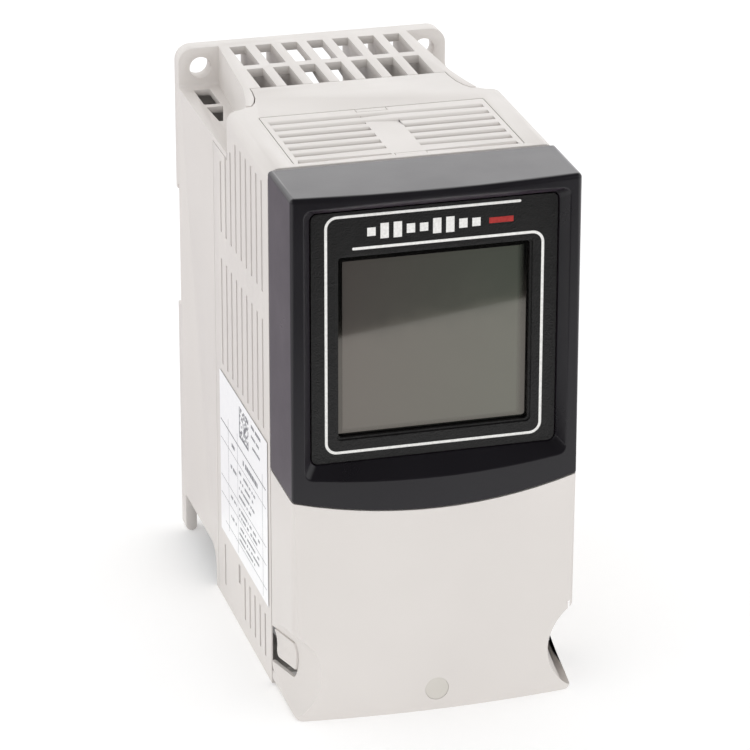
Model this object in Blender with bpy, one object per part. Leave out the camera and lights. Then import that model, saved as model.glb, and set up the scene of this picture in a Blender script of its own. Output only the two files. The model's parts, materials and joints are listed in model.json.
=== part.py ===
"""Compact variable frequency drive: a plastic case on a finned heat sink, with a display and a terminal bay.

Every size is in millimetres and is measured in the drive's own terms: x to the right of the middle, depth in
front of the mounting wall, and z above the base. The function at() turns such a place into metres, +Z up.
"""
import math

import bmesh
import bpy
from mathutils import Matrix, Vector

MM = 0.001

# Driving dimensions
WIDTH = 80.0
HEIGHT = 152.0
CORNER_DEPTH = 136.0        # from the wall to the front's two upright corners
BOW = 2.6                   # how far the middle of the front stands ahead of its corners
HALF = WIDTH / 2
DEPTH = CORNER_DEPTH + BOW
WALL_Y = DEPTH / 2          # the mounting wall, so that the origin is in the middle of the base
GAP = 0.3                   # between neighbouring pieces
SKIN = 1.8                  # moulded wall
HOLE_SPACING_X = 67.0
HOLE_SPACING_Z = 140.0
HOLE_RADIUS = 3.2

# Case stations, as depths in front of the wall
FLANGE = 5.3
GRILLE_END = 44.7
REAR_SPLIT = 48.0
POCKET_END = 66.0
CASE_END = 111.2
BEZEL_START = 111.5
COVER_START = 112.1

# Case levels, above the base
VOID_TOP = 12.0             # air comes in under this level, behind the terminal bay
SHELF = 140.4               # floor of the two screw pockets
HOLE_TOP_Z = 146.0
DECK_BOTTOM = 67.0

# The line between bezel and front cover arches down in the middle
ARCH_MIDDLE = 60.85
ARCH_RISE = 0.00288         # millimetres for each square millimetre of x

RAIL_BOTTOM = 72.5
RAIL_TOP = 108.5
RAIL_DEPTH = 3.4
RAIL_LIP = 1.9              # thickness of the lip over the recess, which the rail's upper edge goes behind
RAIL_UNDERCUT = 1.6         # how far up the undercut goes; its floor stands a little proud of the seat

FRONT = "front"             # outlines of (x, z), drawn out along the depth
PLAN = "plan"               # outlines of (x, depth), drawn out upwards
SIDE = "side"               # outlines of (depth, z), drawn out across

HOUSING = (0.74, 0.72, 0.69, 1.0)
BLACK = (0.02, 0.02, 0.022, 1.0)
BOARD_GREEN = (0.02, 0.16, 0.07, 1.0)
STEEL = (0.55, 0.56, 0.58, 1.0)


def clear_scene():
    for item in list(bpy.data.objects):
        bpy.data.objects.remove(item)


def at(x, depth, z):
    """The point in metres for a place in the drive's own terms."""
    return Vector((x, WALL_Y - depth, z)) * MM


def finish_mesh(name, shape):
    """An object from a bmesh, with its faces turned outwards."""
    bmesh.ops.recalc_face_normals(shape, faces=shape.faces[:])
    mesh = bpy.data.meshes.new(name)
    shape.to_mesh(mesh)
    shape.free()
    item = bpy.data.objects.new(name, mesh)
    bpy.context.collection.objects.link(item)
    return item


def spot(view, a, b, c):
    """The place (a, b) of an outline in this view, c along the direction it is drawn out in."""
    if view == FRONT:
        return at(a, c, b)
    if view == PLAN:
        return at(a, b, c)
    return at(c, a, b)


def prism(view, outline, start, end):
    """A closed solid: an outline drawn out from start to end."""
    shape = bmesh.new()
    ring = [shape.verts.new(spot(view, a, b, start)) for a, b in outline]
    base = shape.faces.new(ring)
    sides = bmesh.ops.extrude_face_region(shape, geom=[base])
    moved = [part for part in sides["geom"] if isinstance(part, bmesh.types.BMVert)]
    bmesh.ops.translate(shape, verts=moved, vec=spot(view, 0, 0, end) - spot(view, 0, 0, start))
    return finish_mesh("shape", shape)


def block(x0, x1, d0, d1, z0, z1):
    return prism(PLAN, [(x0, d0), (x1, d0), (x1, d1), (x0, d1)], z0, z1)


def loft(view, *sections):
    """A closed solid through sections (outline, place), whose outlines have the same number of points."""
    shape = bmesh.new()
    rings = []
    for outline, place in sections:
        rings.append([shape.verts.new(spot(view, a, b, place)) for a, b in outline])
    shape.faces.new(rings[0])
    shape.faces.new(rings[-1])
    for near, far in zip(rings, rings[1:]):
        for here in range(len(near)):
            there = (here + 1) % len(near)
            shape.faces.new((near[here], near[there], far[there], far[here]))
    return finish_mesh("shape", shape)


def circle(a, b, radius, sides=24):
    turn = math.tau / sides
    return [(a + radius * math.cos(k * turn), b + radius * math.sin(k * turn)) for k in range(sides)]


def rod(view, a, b, radius, start, end, sides=24):
    return prism(view, circle(a, b, radius, sides), start, end)


def rounded(corners, steps=5):
    """An outline in which each corner (a, b, radius) becomes an arc; radius 0 stays sharp."""
    points = []
    for place, (a, b, radius) in enumerate(corners):
        here = Vector((a, b))
        if radius == 0:
            points.append((a, b))
            continue
        before = (Vector(corners[place - 1][:2]) - here).normalized()
        after = (Vector(corners[(place + 1) % len(corners)][:2]) - here).normalized()
        half = before.angle(after) / 2
        centre = here + (before + after).normalized() * radius / math.sin(half)
        first = here + before * radius / math.tan(half) - centre
        last = here + after * radius / math.tan(half) - centre
        begin = math.atan2(first.y, first.x)
        sweep = (math.atan2(last.y, last.x) - begin + math.pi) % math.tau - math.pi
        for step in range(steps + 1):
            angle = begin + sweep * step / steps
            points.append((centre.x + radius * math.cos(angle), centre.y + radius * math.sin(angle)))
    return points


def box_outline(a0, a1, b0, b1, radius=0.0, steps=5):
    return rounded([(a0, b0, radius), (a1, b0, radius), (a1, b1, radius), (a0, b1, radius)], steps)


def mirrored(outline, side):
    """The outline on the given side of the middle, side being -1 or 1."""
    return [(side * a, b) for a, b in outline]


def combine(body, tool, operation):
    """Join, cut or intersect two solids; the tool is used up."""
    step = body.modifiers.new(operation, "BOOLEAN")
    step.operation = operation
    step.solver = "EXACT"
    step.object = tool
    graph = bpy.context.evaluated_depsgraph_get()
    result = bpy.data.meshes.new_from_object(body.evaluated_get(graph))
    body.modifiers.clear()
    body.data = result
    bpy.data.objects.remove(tool)


def join(body, *tools):
    for tool in tools:
        combine(body, tool, "UNION")


def cut(body, *tools):
    for tool in tools:
        combine(body, tool, "DIFFERENCE")


def keep(body, *tools):
    for tool in tools:
        combine(body, tool, "INTERSECT")


def gather(pieces):
    """One cutter made of several separate shapes."""
    shape = bmesh.new()
    for piece in pieces:
        shape.from_mesh(piece.data)
        bpy.data.objects.remove(piece)
    return finish_mesh("group", shape)


def name_part(item, name, colour, roughness, metallic=0.0):
    """Name a finished piece and give it its own material."""
    item.name = name
    item.data.name = name
    paint = bpy.data.materials.new(name)
    paint.use_nodes = True
    shader = paint.node_tree.nodes["Principled BSDF"]
    shader.inputs["Base Color"].default_value = colour
    shader.inputs["Roughness"].default_value = roughness
    shader.inputs["Metallic"].default_value = metallic
    item.data.materials.clear()
    item.data.materials.append(paint)
    item.data.shade_smooth()
    item.data.set_sharp_from_angle(angle=math.radians(35))
    return item


def name_each(items, name, colour, roughness, metallic=0.0):
    """Name the copies of a repeated piece name_1, name_2 and so on."""
    for number, item in enumerate(items, 1):
        name_part(item, f"{name}_{number}", colour, roughness, metallic)


def set_origin(item, point):
    """Put a moving piece's origin on its joint's axis, without moving the piece."""
    item.data.transform(Matrix.Translation(-point))
    item.location = point
    return item


def front_depth(x):
    """How far the bowed front stands from the wall at this x."""
    return CORNER_DEPTH + BOW * (1 - (x / HALF) ** 2)


def bowed_plan(inset, start, radius):
    """Plan outline of the drive's front end, inset from its outer surface."""
    half = HALF - inset
    steps = 16
    front = [half * (1 - 2 * step / steps) for step in range(steps + 1)]
    corners = [(-half, start, 0), (half, start, 0)]
    for x in front:
        corners.append((x, front_depth(x) - inset, radius if abs(x) == half else 0))
    return rounded(corners)


def arch_z(x):
    return ARCH_MIDDLE + ARCH_RISE * x * x


def arch_outline(half, lift, top, radius):
    """Front outline from the arched line, lifted by lift, up or down to the level top."""
    steps = 16
    xs = [half * (1 - 2 * step / steps) for step in range(steps + 1)]
    corners = [(-half, top, radius), (half, top, radius)]
    corners += [(x, arch_z(x) + lift, 0) for x in xs]
    return rounded(corners)


def corner_cutter(view, a, b, radius, towards_a, towards_b, start, end):
    """What is cut away to round the outer corner at (a, b), whose material lies towards (towards_a, towards_b)."""
    centre_a = a + towards_a * radius
    centre_b = b + towards_b * radius
    over = 1.0
    points = [(a - towards_a * over, b - towards_b * over), (centre_a, b - towards_b * over)]
    steps = 6
    for step in range(steps + 1):
        angle = math.pi / 2 * step / steps
        points.append((centre_a - towards_a * radius * math.sin(angle),
                       centre_b - towards_b * radius * math.cos(angle)))
    points.append((a - towards_a * over, centre_b))
    return prism(view, points, start, end)


# Rear housing: mounting flange, screw pockets, side walls and the outlet grille in one moulding

POCKET_WALL = [(28.0, FLANGE), (30.3, 44.0), (31.8, 53.0), (33.2, 59.4)]    # outer face of the central block
FILLET = [(33.7, 60.6), (34.3, 61.4), (35.1, 62.0), (36.1, 62.4), (37.3, 62.65), (38.4, 62.9),
          (39.2, 63.3), (39.8, 63.9), (40.0, 64.8)]
LIP = [(31.9, 59.8), (30.4, 56.9), (29.3, 53.1), (28.7, 47.8), (28.6, GRILLE_END)]
GRILLE_COLUMNS = 7
GRILLE_PITCH = 7.65
GRILLE_HOLE = 4.8
GRILLE_ROWS = ((7.0, 24.6), (28.0, 46.0))
RIB_BOTTOM = 136.0
RIB_HALF = 1.2
RIB_REAR = 0.2
SHALLOW_RIBS = (3, 4)       # the middle two are only low webs under the grille
WEB = [(FLANGE + 0.3, 150.4), (24.0, 148.2), (GRILLE_END, 146.0),
       (GRILLE_END, HEIGHT - 1), (FLANGE + 0.3, HEIGHT - 1)]
WINDOW = (130.0, 149.7)     # the flange is open behind the grille
LATCH_HALF = 10.0
LATCH_TRACK = (1.0, 4.3)
PEG = (46.6, 50.0)


def rear_silhouette():
    """The rear housing seen from the side, as (depth, z)."""
    return rounded([
        (0, 0, 0), (FLANGE, 0, 0), (FLANGE, VOID_TOP, 0.8), (45.0, VOID_TOP, 6.0), (45.0, 0, 0),
        (REAR_SPLIT - GAP, 0, 0), (REAR_SPLIT - GAP, SHELF - 1.5, 0), (POCKET_END, SHELF - 1.5, 0),
        (POCKET_END, SHELF, 0), (FLANGE, SHELF, 1.2), (FLANGE, HEIGHT, 0), (0, HEIGHT, 0)], 6)


def grille_holes():
    """The two rows of outlet holes, all as one cutter."""
    holes = []
    for column in range(GRILLE_COLUMNS):
        x = (column - (GRILLE_COLUMNS - 1) / 2) * GRILLE_PITCH
        for start, end in GRILLE_ROWS:
            holes.append(block(x - GRILLE_HOLE / 2, x + GRILLE_HOLE / 2, start, end, RIB_BOTTOM, HEIGHT + 2))
    return gather(holes)


def mounting_cutters(side):
    """Round hole at the top, slot that is open downwards at the bottom, and the flange's rounded corners."""
    x = side * HOLE_SPACING_X / 2
    bottom = HOLE_TOP_Z - HOLE_SPACING_Z
    through = (-1, FLANGE + 2)
    slot = [(x - HOLE_RADIUS, -2), (x + HOLE_RADIUS, -2)]
    slot += [(x + HOLE_RADIUS * math.cos(k * math.pi / 10), bottom + HOLE_RADIUS * math.sin(k * math.pi / 10))
             for k in range(11)]
    leg = side * (HOLE_SPACING_X / 2 + HOLE_RADIUS)
    return [
        rod(FRONT, x, HOLE_TOP_Z, HOLE_RADIUS, *through),
        prism(FRONT, slot, *through),
        corner_cutter(FRONT, side * HALF, HEIGHT, 4.5, -side, -1, *through),
        corner_cutter(FRONT, side * HALF, 0, 1.6, -side, 1, *through),
        corner_cutter(FRONT, leg, 0, 1.4, side, 1, *through)]


def rear_housing():
    body = prism(SIDE, rear_silhouette(), -HALF, HALF)
    head = [(-x, depth) for x, depth in POCKET_WALL] + POCKET_WALL[::-1]
    head[0] = (head[0][0], FLANGE - 2)
    head[-1] = (head[-1][0], FLANGE - 2)
    join(body, prism(PLAN, head, SHELF - 1.2, HEIGHT))
    inner = HALF - SKIN
    cut(body, block(-inner, inner, FLANGE, 70, -5, SHELF - SKIN))
    hollow = [(x - 1.6, depth) for x, depth in POCKET_WALL[:2]] + [(28.6, 44.0), (28.6, 70.0)]
    hollow[0] = (hollow[0][0], FLANGE)
    cut(body, prism(PLAN, [(-x, depth) for x, depth in hollow] + hollow[::-1], SHELF - 4, HEIGHT - 2.4))
    edge = LIP[::-1] + [(x, depth - GAP) for x, depth in FILLET] + [(HALF + 2, 66.0), (HALF + 2, 75.0)]
    front_gap = [(-x, depth) for x, depth in edge] + edge[::-1]
    cut(body, prism(PLAN, front_gap, SHELF - 4, HEIGHT + 2))
    cut(body, grille_holes(), block(-26.2, 26.2, -2, FLANGE + 1, *WINDOW))
    for rib in range(GRILLE_COLUMNS + 1):
        x = (rib - GRILLE_COLUMNS / 2) * GRILLE_PITCH
        if rib in SHALLOW_RIBS:
            join(body, prism(SIDE, WEB, x - RIB_HALF, x + RIB_HALF))
        else:
            join(body, block(x - RIB_HALF, x + RIB_HALF, RIB_REAR, GRILLE_END, RIB_BOTTOM, HEIGHT - 1))
    for side in (-1, 1):
        cut(body, *mounting_cutters(side))
        near = box_outline(31.6, 36.4, 8.6, 22.0, 0.6, 2)
        far = [(31.4, 24.4), (36.2, 24.4), (35.6, 37.0), (34.4, 37.0)]
        for hole in (near, far):
            cut(body, prism(PLAN, mirrored(hole, side), SHELF - 4, SHELF + 2))
    cut(body, block(-HALF - 1, HALF + 1, -1, RAIL_DEPTH, RAIL_BOTTOM, RAIL_TOP))
    cut(body, block(-HALF - 1, HALF + 1, RAIL_LIP, RAIL_DEPTH - 0.2, RAIL_TOP - 1, RAIL_TOP + RAIL_UNDERCUT))
    track = LATCH_HALF + GAP
    cut(body, block(-track, track, *LATCH_TRACK, -2, RAIL_BOTTOM + 1), block(-8, 8, -2, 1.2, -2, RAIL_BOTTOM + 1))
    join(body, block(-2.8, 2.8, 1.5, LATCH_TRACK[1] + 0.5, *PEG))
    return name_part(body, "rear_housing", HOUSING, 0.45)


# Front housing: top plate and side walls, with the deck that carries the control board and the bezel

TOP_PLATE = 3.6
TOP_EDGE_RADIUS = 3.2
VENT_HALF = 32.0
VENT_START = 69.9
VENT_END = 109.0
VENT_SLOTS = 7
VENT_SLOT_FIRST = 75.2
VENT_SLOT_PITCH = 5.38
VENT_SLOT_SPAN = (4.75, 30.5)
SLOT_PITCH = 5.95
SLOT_FIRST = 56.5
SLOT_COUNT = 9
SLOT_WIDTH = 1.4
UPPER_SLOT = (114.6, 146.4)
UPPER_SLOT_DROPS = (10.8, 7.8, 4.3)     # the rearmost slots stop lower, under the pocket
LOWER_SLOT = (74.5, 106.6)
BOTTOM_SLOT = (5.2, 18.2)
DECK = (107.4, 109.4)
BOARD_POSTS = ((-31.0, 78.0), (31.0, 138.0))


def pocket_notch(side):
    """Plan outline of what the front housing leaves free for the screw pocket and the rear housing's lip."""
    lip = [(x - GAP, depth + GAP) for x, depth in LIP[::-1]]
    return mirrored([(28.3, 44.0)] + lip[1:] + FILLET + [(42.0, 66.0), (42.0, 44.0)], side)


def pocket_end_wall(side):
    """Plan outline of the wall that closes the front housing behind the screw pocket."""
    outer = [(32.6, 60.4)] + FILLET[:-2] + [(39.4, 63.7)]
    return mirrored(outer + [(39.2, 66.0), (36.0, 64.6), (33.0, 63.0), (29.5, 61.0), (29.5, 59.0)], side)


SNAP_DEPTH = (72.8, 74.9)   # the window of the snap that joins front and rear housing
SNAP_Z = (13.6, 19.4)
CATCH_SKIN = 0.4            # wall left outside the catch of a cover tab
CATCH_START = 104.5
CATCH_Z = (6.6, 18.5)


def side_slots(side):
    """All the cooling slots of one side wall, as one cutter."""
    reach = (side * (HALF - SKIN - 2), side * (HALF + 2))
    slots = []
    for number in range(SLOT_COUNT):
        depth = SLOT_FIRST + number * SLOT_PITCH
        drop = UPPER_SLOT_DROPS[number] if number < len(UPPER_SLOT_DROPS) else 0
        groups = [(UPPER_SLOT[0], UPPER_SLOT[1] - drop), LOWER_SLOT]
        if number == 0 or number > 3:
            groups.append(BOTTOM_SLOT)
        for low, high in groups:
            outline = box_outline(depth - SLOT_WIDTH / 2, depth + SLOT_WIDTH / 2, low, high)
            slots.append(prism(SIDE, outline, min(reach), max(reach)))
    snap = box_outline(*SNAP_DEPTH, *SNAP_Z)
    slots.append(prism(SIDE, snap, min(reach), max(reach)))
    return gather(slots)


def front_housing():
    radius = TOP_EDGE_RADIUS
    outer = rounded([(-HALF, 0, 0), (HALF, 0, 0), (HALF, HEIGHT, radius), (-HALF, HEIGHT, radius)], 6)
    inner = HALF - SKIN
    ceiling = HEIGHT - TOP_PLATE
    hollow = rounded([(-inner, -5, 0), (inner, -5, 0), (inner, ceiling, 1.5), (-inner, ceiling, 1.5)])
    body = prism(FRONT, outer, GRILLE_END + GAP, CASE_END)
    cut(body, prism(FRONT, hollow, GRILLE_END - 5, CASE_END + 5))
    for side in (-1, 1):
        cut(body, prism(PLAN, pocket_notch(side), SHELF - SKIN, HEIGHT + 2))
        reach = (side * (inner - 3), side * (HALF + 3))
        cut(body, block(min(reach), max(reach), 40, REAR_SPLIT, -5, SHELF - SKIN + 1))
        join(body, prism(PLAN, pocket_end_wall(side), SHELF - SKIN, HEIGHT - 1.5))
        cut(body, side_slots(side))
        catch = (side * (inner - 1), side * (HALF - CATCH_SKIN))
        cut(body, block(min(catch), max(catch), CATCH_START, CASE_END + 1, *CATCH_Z))
    deck = prism(FRONT, box_outline(-inner - 0.5, inner + 0.5, DECK_BOTTOM, ceiling + 0.8), *DECK)
    cut(deck, prism(FRONT, box_outline(-27.5, 27.5, 74.0, 142.0, 3.0), DECK[0] - 2, DECK[1] + 2))
    join(body, deck)
    for x, z in BOARD_POSTS:
        join(body, rod(FRONT, x, z, 2.8, DECK[0] - 1.6, DECK[0] + 0.6, 16))
        cut(body, rod(FRONT, x, z, 1.4, DECK[0] - 4, DECK[1] - 0.6, 16))
    edge = GAP
    recess = box_outline(-VENT_HALF - edge, VENT_HALF + edge, VENT_START - edge, VENT_END + edge, 0.8, 2)
    cut(body, prism(PLAN, recess, HEIGHT - 2.1, HEIGHT + 2))
    cut(body, block(-29.5, 29.5, 73.0, 106.4, ceiling - 5, HEIGHT + 2))
    return name_part(body, "front_housing", HOUSING, 0.45)


def top_vent_cover():
    """Louvred cover that snaps into the top plate and lifts off."""
    outline = box_outline(-VENT_HALF, VENT_HALF, VENT_START, VENT_END, 0.6, 2)
    body = prism(PLAN, outline, HEIGHT - 1.8, HEIGHT - 0.1)
    slots = []
    for number in range(VENT_SLOTS - 1):
        depth = VENT_SLOT_FIRST + number * VENT_SLOT_PITCH
        for side in (-1, 1):
            low, high = sorted(side * reach for reach in VENT_SLOT_SPAN)
            slots.append(block(low, high, depth - 0.8, depth + 0.8, HEIGHT - 4, HEIGHT + 2))
    cut(body, gather(slots))
    for side in (-1, 1):
        join(body, block(side * 12 - 4, side * 12 + 4, 73.4, 75.2, HEIGHT - 5.4, HEIGHT - 1.2))
        join(body, block(side * 12 - 4, side * 12 + 4, 104.4, 106.0, HEIGHT - 5.4, HEIGHT - 1.2))
    item = name_part(body, "top_vent_cover", HOUSING, 0.45)
    return set_origin(item, at(0, (VENT_START + VENT_END) / 2, HEIGHT - 1.8))


# Display end: bezel, printed panel, glass, module and board

PANEL_FRONT = 133.5
PANEL_BACK = 131.9
PANEL_HALF = 34.0
PANEL_Z = (75.0, 146.4)
MOUTH_HALF = 36.6           # the recess at the bezel's front face
MOUTH_Z = (72.0, 148.4)
MOUTH_DEPTH = 136.8
WINDOW_HALF = 26.4
WINDOW_Z = (82.0, 133.4)
MODULE_HALF = 28.0
MODULE_Z = (80.5, 135.0)


def display_bezel():
    body = prism(PLAN, bowed_plan(0, BEZEL_START, 2.6), 50, HEIGHT)
    keep(body, prism(FRONT, arch_outline(HALF + 0.01, GAP / 2, HEIGHT, 2.8), BEZEL_START - 5, DEPTH + 5))
    inner = HALF - 2.2
    cut(body, prism(FRONT, arch_outline(inner, 2.4, HEIGHT - 2.2, 1.2), BEZEL_START - 5, PANEL_BACK - 2.3))
    ledge = box_outline(-PANEL_HALF - GAP, PANEL_HALF + GAP, PANEL_Z[0] - GAP, PANEL_Z[1] + GAP, 2.0, 4)
    reach = 6.0
    grow = reach / (MOUTH_DEPTH - PANEL_FRONT)
    half = PANEL_HALF + GAP + grow * (MOUTH_HALF - PANEL_HALF)
    low = PANEL_Z[0] - GAP + grow * (MOUTH_Z[0] - PANEL_Z[0])
    high = PANEL_Z[1] + GAP + grow * (MOUTH_Z[1] - PANEL_Z[1])
    mouth = box_outline(-half, half, low, high, 2.0, 4)
    cut(body, loft(FRONT, (ledge, PANEL_BACK - GAP), (ledge, PANEL_FRONT), (mouth, PANEL_FRONT + reach)))
    window = box_outline(-MODULE_HALF - 0.4, MODULE_HALF + 0.4, MODULE_Z[0] - 0.4, MODULE_Z[1] + 0.4, 1.0, 2)
    cut(body, prism(FRONT, window, BEZEL_START + 5, DEPTH + 5))
    return name_part(body, "display_bezel", BLACK, 0.35)


def display_panel():
    """Printed faceplate with the window for the screen."""
    body = prism(FRONT, box_outline(-PANEL_HALF, PANEL_HALF, *PANEL_Z, 1.8, 4), PANEL_BACK, PANEL_FRONT)
    window = box_outline(-WINDOW_HALF, WINDOW_HALF, *WINDOW_Z, 0.8, 3)
    cut(body, prism(FRONT, window, PANEL_BACK - 2, PANEL_FRONT + 2))
    return name_part(body, "display_panel", BLACK, 0.6)


def display_parts():
    """Glass, module, board and the ribbon back to the control board."""
    glass = prism(FRONT, box_outline(-MODULE_HALF, MODULE_HALF, *MODULE_Z, 0.6, 2), 130.4, 131.6)
    name_part(glass, "screen_glass", (0.16, 0.17, 0.15, 1.0), 0.08)
    module = prism(FRONT, box_outline(-MODULE_HALF, MODULE_HALF, *MODULE_Z, 0.6, 2), 123.0, 130.1)
    name_part(module, "screen_module", STEEL, 0.4, 0.9)
    board = prism(FRONT, box_outline(-33, 33, 76.5, 146.0, 1.5, 3), 118.2, 119.8)
    join(board, block(-30, -26, 119.4, 122.7, 84, 130), block(26, 30, 119.4, 122.7, 84, 130))
    name_part(board, "display_board", BOARD_GREEN, 0.5)
    path = [(117.9, 92.0), (114.5, 92.6), (112.0, 95.0), (109.5, 97.4), (105.9, 98.0)]
    outline = path + [(depth, z - 0.5) for depth, z in path[::-1]]
    name_part(prism(SIDE, outline, -9, 9), "display_ribbon", (0.5, 0.5, 0.5, 1.0), 0.5)


# Front cover over the terminal bay, with a press tab in each finger scoop

SCOOP_RADIUS = 15.0
SCOOP_Z = 13.3
SCOOP_DEEP = 7.2
TAB_Z = (10.0, 18.2)
TAB_DEPTH = (114.1, 124.4)
TAB_PIVOT = 36.0
TAB_SLOT = 2.4              # the slot under a tab
PLUG_Z = 6.3
PLUG_RADIUS = 3.3


def scoop(side, grow):
    """Leaning cylinder that hollows a finger scoop; grow makes it larger all round."""
    radius = SCOOP_RADIUS + grow
    rear = circle(side * (HALF + SCOOP_RADIUS - 0.3 + SCOOP_DEEP / 26 * 2), SCOOP_Z, radius, 48)
    ahead = circle(side * (HALF + SCOOP_RADIUS - 0.3 - SCOOP_DEEP / 26 * 28), SCOOP_Z, radius, 48)
    return loft(FRONT, (rear, 110.0), (ahead, 140.0))


def cover_solid():
    body = prism(PLAN, bowed_plan(0, COVER_START, 2.6), 0, 75)
    steps = 16
    xs = [HALF * (1 - 2 * step / steps) for step in range(steps + 1)]
    face = [(-HALF - 0.01, 0, 3.0), (HALF + 0.01, 0, 3.0)]
    face += [(x * 1.001, arch_z(x) - GAP / 2, 0) for x in xs]
    keep(body, prism(FRONT, rounded(face), COVER_START - 5, DEPTH + 5))
    return body


def cover_shell():
    """The cover with its scoops, before the tabs are parted from it."""
    body = cover_solid()
    cut(body, prism(PLAN, bowed_plan(2.0, COVER_START - 5, 1.2), -5, ARCH_MIDDLE - 2.4))
    for side in (-1, 1):
        backing = cover_solid()
        keep(backing, scoop(side, 1.7))
        join(body, backing)
        cut(body, scoop(side, 0))
    return body


def tab_cutter(side, outline):
    reach = (side * 30, side * (HALF + 2))
    return prism(SIDE, rounded(outline), min(reach), max(reach))


def front_cover():
    body = cover_shell()
    for side in (-1, 1):
        low, high = TAB_Z[0] - TAB_SLOT, TAB_Z[1] + GAP
        ahead = TAB_DEPTH[1] + GAP
        cut(body, tab_cutter(side, [
            (COVER_START - 2, low, 0), (ahead, low, 1.1), (ahead, high, 0), (COVER_START - 2, high, 0)]))
    cut(body, rod(FRONT, 0, PLUG_Z, PLUG_RADIUS + GAP, DEPTH - 6, DEPTH + 5))
    item = name_part(body, "front_cover", HOUSING, 0.45)
    return set_origin(item, at(0, COVER_START, 0))


def cover_plug():
    name_part(rod(FRONT, 0, PLUG_Z, PLUG_RADIUS, DEPTH - 2.4, DEPTH - 0.15, 32), "cover_plug", HOUSING, 0.5)


def cover_tab(side, name):
    """Press tab, bending about its root at the front end."""
    body = cover_solid()
    keep(body, scoop(side, 1.7))
    cut(body, scoop(side, 0))
    rear, root = TAB_DEPTH
    low, high = TAB_Z
    keep(body, tab_cutter(side, [(rear, low, 2.0), (root, low, 0), (root, high, 0), (rear, high, 0.4)]))
    item = name_part(body, name, HOUSING, 0.45)
    return set_origin(item, at(side * TAB_PIVOT, TAB_DEPTH[1], SCOOP_Z))


# Rating label on the left side wall

def rating_label():
    outline = [(53.5, 72.0), (109.0, 72.0), (109.0, 22.5), (61.8, 22.5), (53.5, 32.6)]
    item = prism(SIDE, outline, -HALF - 0.35, -HALF - 0.2)
    name_part(item, "rating_label", (0.9, 0.9, 0.9, 1.0), 0.4)


# Cooling: heat sink, fan, guard and their screws

SINK_BASE = (40.0, 46.0)
SINK_Z = (24.4, 128.0)
SINK_HALF = 37.6
FIN_COUNT = 13
FIN_HALF = 0.75
FIN_START = 6.2
FAN_DEPTH = 25.9            # the fan's axis
FAN_HALF = 20.0
FAN_Z = (14.0, 24.0)
FAN_SCREW = 16.0            # from the axis, in both directions


def heat_sink():
    """Extruded comb: a base plate with fins towards the wall."""
    first = SINK_HALF - FIN_HALF
    pitch = 2 * first / (FIN_COUNT - 1)
    outline = [(-SINK_HALF, SINK_BASE[1]), (SINK_HALF, SINK_BASE[1])]
    for fin in range(FIN_COUNT):
        x = first - fin * pitch
        if fin > 0:
            outline.append((x + FIN_HALF, SINK_BASE[0]))
        outline += [(x + FIN_HALF, FIN_START), (x - FIN_HALF, FIN_START)]
        if fin < FIN_COUNT - 1:
            outline.append((x - FIN_HALF, SINK_BASE[0]))
    body = prism(PLAN, outline, *SINK_Z)
    for x, depth in fan_corners():
        cut(body, rod(PLAN, x, depth, 1.8, SINK_Z[0] - 2, SINK_Z[0] + 7, 12))
    for x, z in STANDOFFS:
        cut(body, rod(FRONT, x, z, 1.6, SINK_BASE[1] - 4.5, SINK_BASE[1] + 2, 12))
    return name_part(body, "heat_sink", (0.6, 0.61, 0.62, 1.0), 0.4, 1.0)


def fan_corners():
    """The two opposite corners that the fan is screwed at."""
    return [(side * FAN_SCREW, FAN_DEPTH + side * FAN_SCREW) for side in (-1, 1)]


def fan_frame():
    outline = box_outline(-FAN_HALF, FAN_HALF, FAN_DEPTH - FAN_HALF + 0.2, FAN_DEPTH + FAN_HALF - 0.2, 2.5, 4)
    body = prism(PLAN, outline, *FAN_Z)
    cut(body, rod(PLAN, 0, FAN_DEPTH, 18.6, FAN_Z[0] - 2, FAN_Z[1] + 2, 40))
    join(body, rod(PLAN, 0, FAN_DEPTH, 8.5, FAN_Z[0], FAN_Z[0] + 1.8, 24))
    for arm in range(3):
        angle = math.radians(30 + 120 * arm)
        along = Vector((math.cos(angle), math.sin(angle)))
        across = Vector((-along.y, along.x)) * 1.1
        middle = Vector((0, FAN_DEPTH))
        ends = [middle + along * 7.5 - across, middle + along * 19.2 - across,
                middle + along * 19.2 + across, middle + along * 7.5 + across]
        join(body, prism(PLAN, [tuple(end) for end in ends], FAN_Z[0] + 0.1, FAN_Z[0] + 1.6))
    cut(body, rod(PLAN, 0, FAN_DEPTH, 1.4, FAN_Z[0] - 2, FAN_Z[0] + 4, 12))
    for x, depth in fan_corners():
        cut(body, rod(PLAN, x, depth, 1.8, FAN_Z[0] - 2, FAN_Z[1] + 2, 12))
    return name_part(body, "fan_frame", BLACK, 0.5)


def fan_rotor():
    """Hub with its shaft and seven pitched blades."""
    body = rod(PLAN, 0, FAN_DEPTH, 8.2, FAN_Z[0] + 2.2, FAN_Z[1] - 0.5, 28)
    join(body, rod(PLAN, 0, FAN_DEPTH, 1.1, FAN_Z[0] + 0.4, FAN_Z[0] + 3, 12))
    blades = 7
    axis = at(0, FAN_DEPTH, FAN_Z[0] + 6)
    for number in range(blades):
        blade = block(7.4, 17.8, FAN_DEPTH - 3.8, FAN_DEPTH + 3.8, FAN_Z[0] + 5.6, FAN_Z[0] + 6.4)
        blade.data.transform(Matrix.Translation(-axis))
        blade.data.transform(Matrix.Rotation(math.radians(38), 4, "X"))
        blade.data.transform(Matrix.Rotation(math.tau * number / blades, 4, "Z"))
        blade.data.transform(Matrix.Translation(axis))
        join(body, blade)
    item = name_part(body, "fan_rotor", BLACK, 0.4)
    return set_origin(item, at(0, FAN_DEPTH, FAN_Z[0]))


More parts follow.
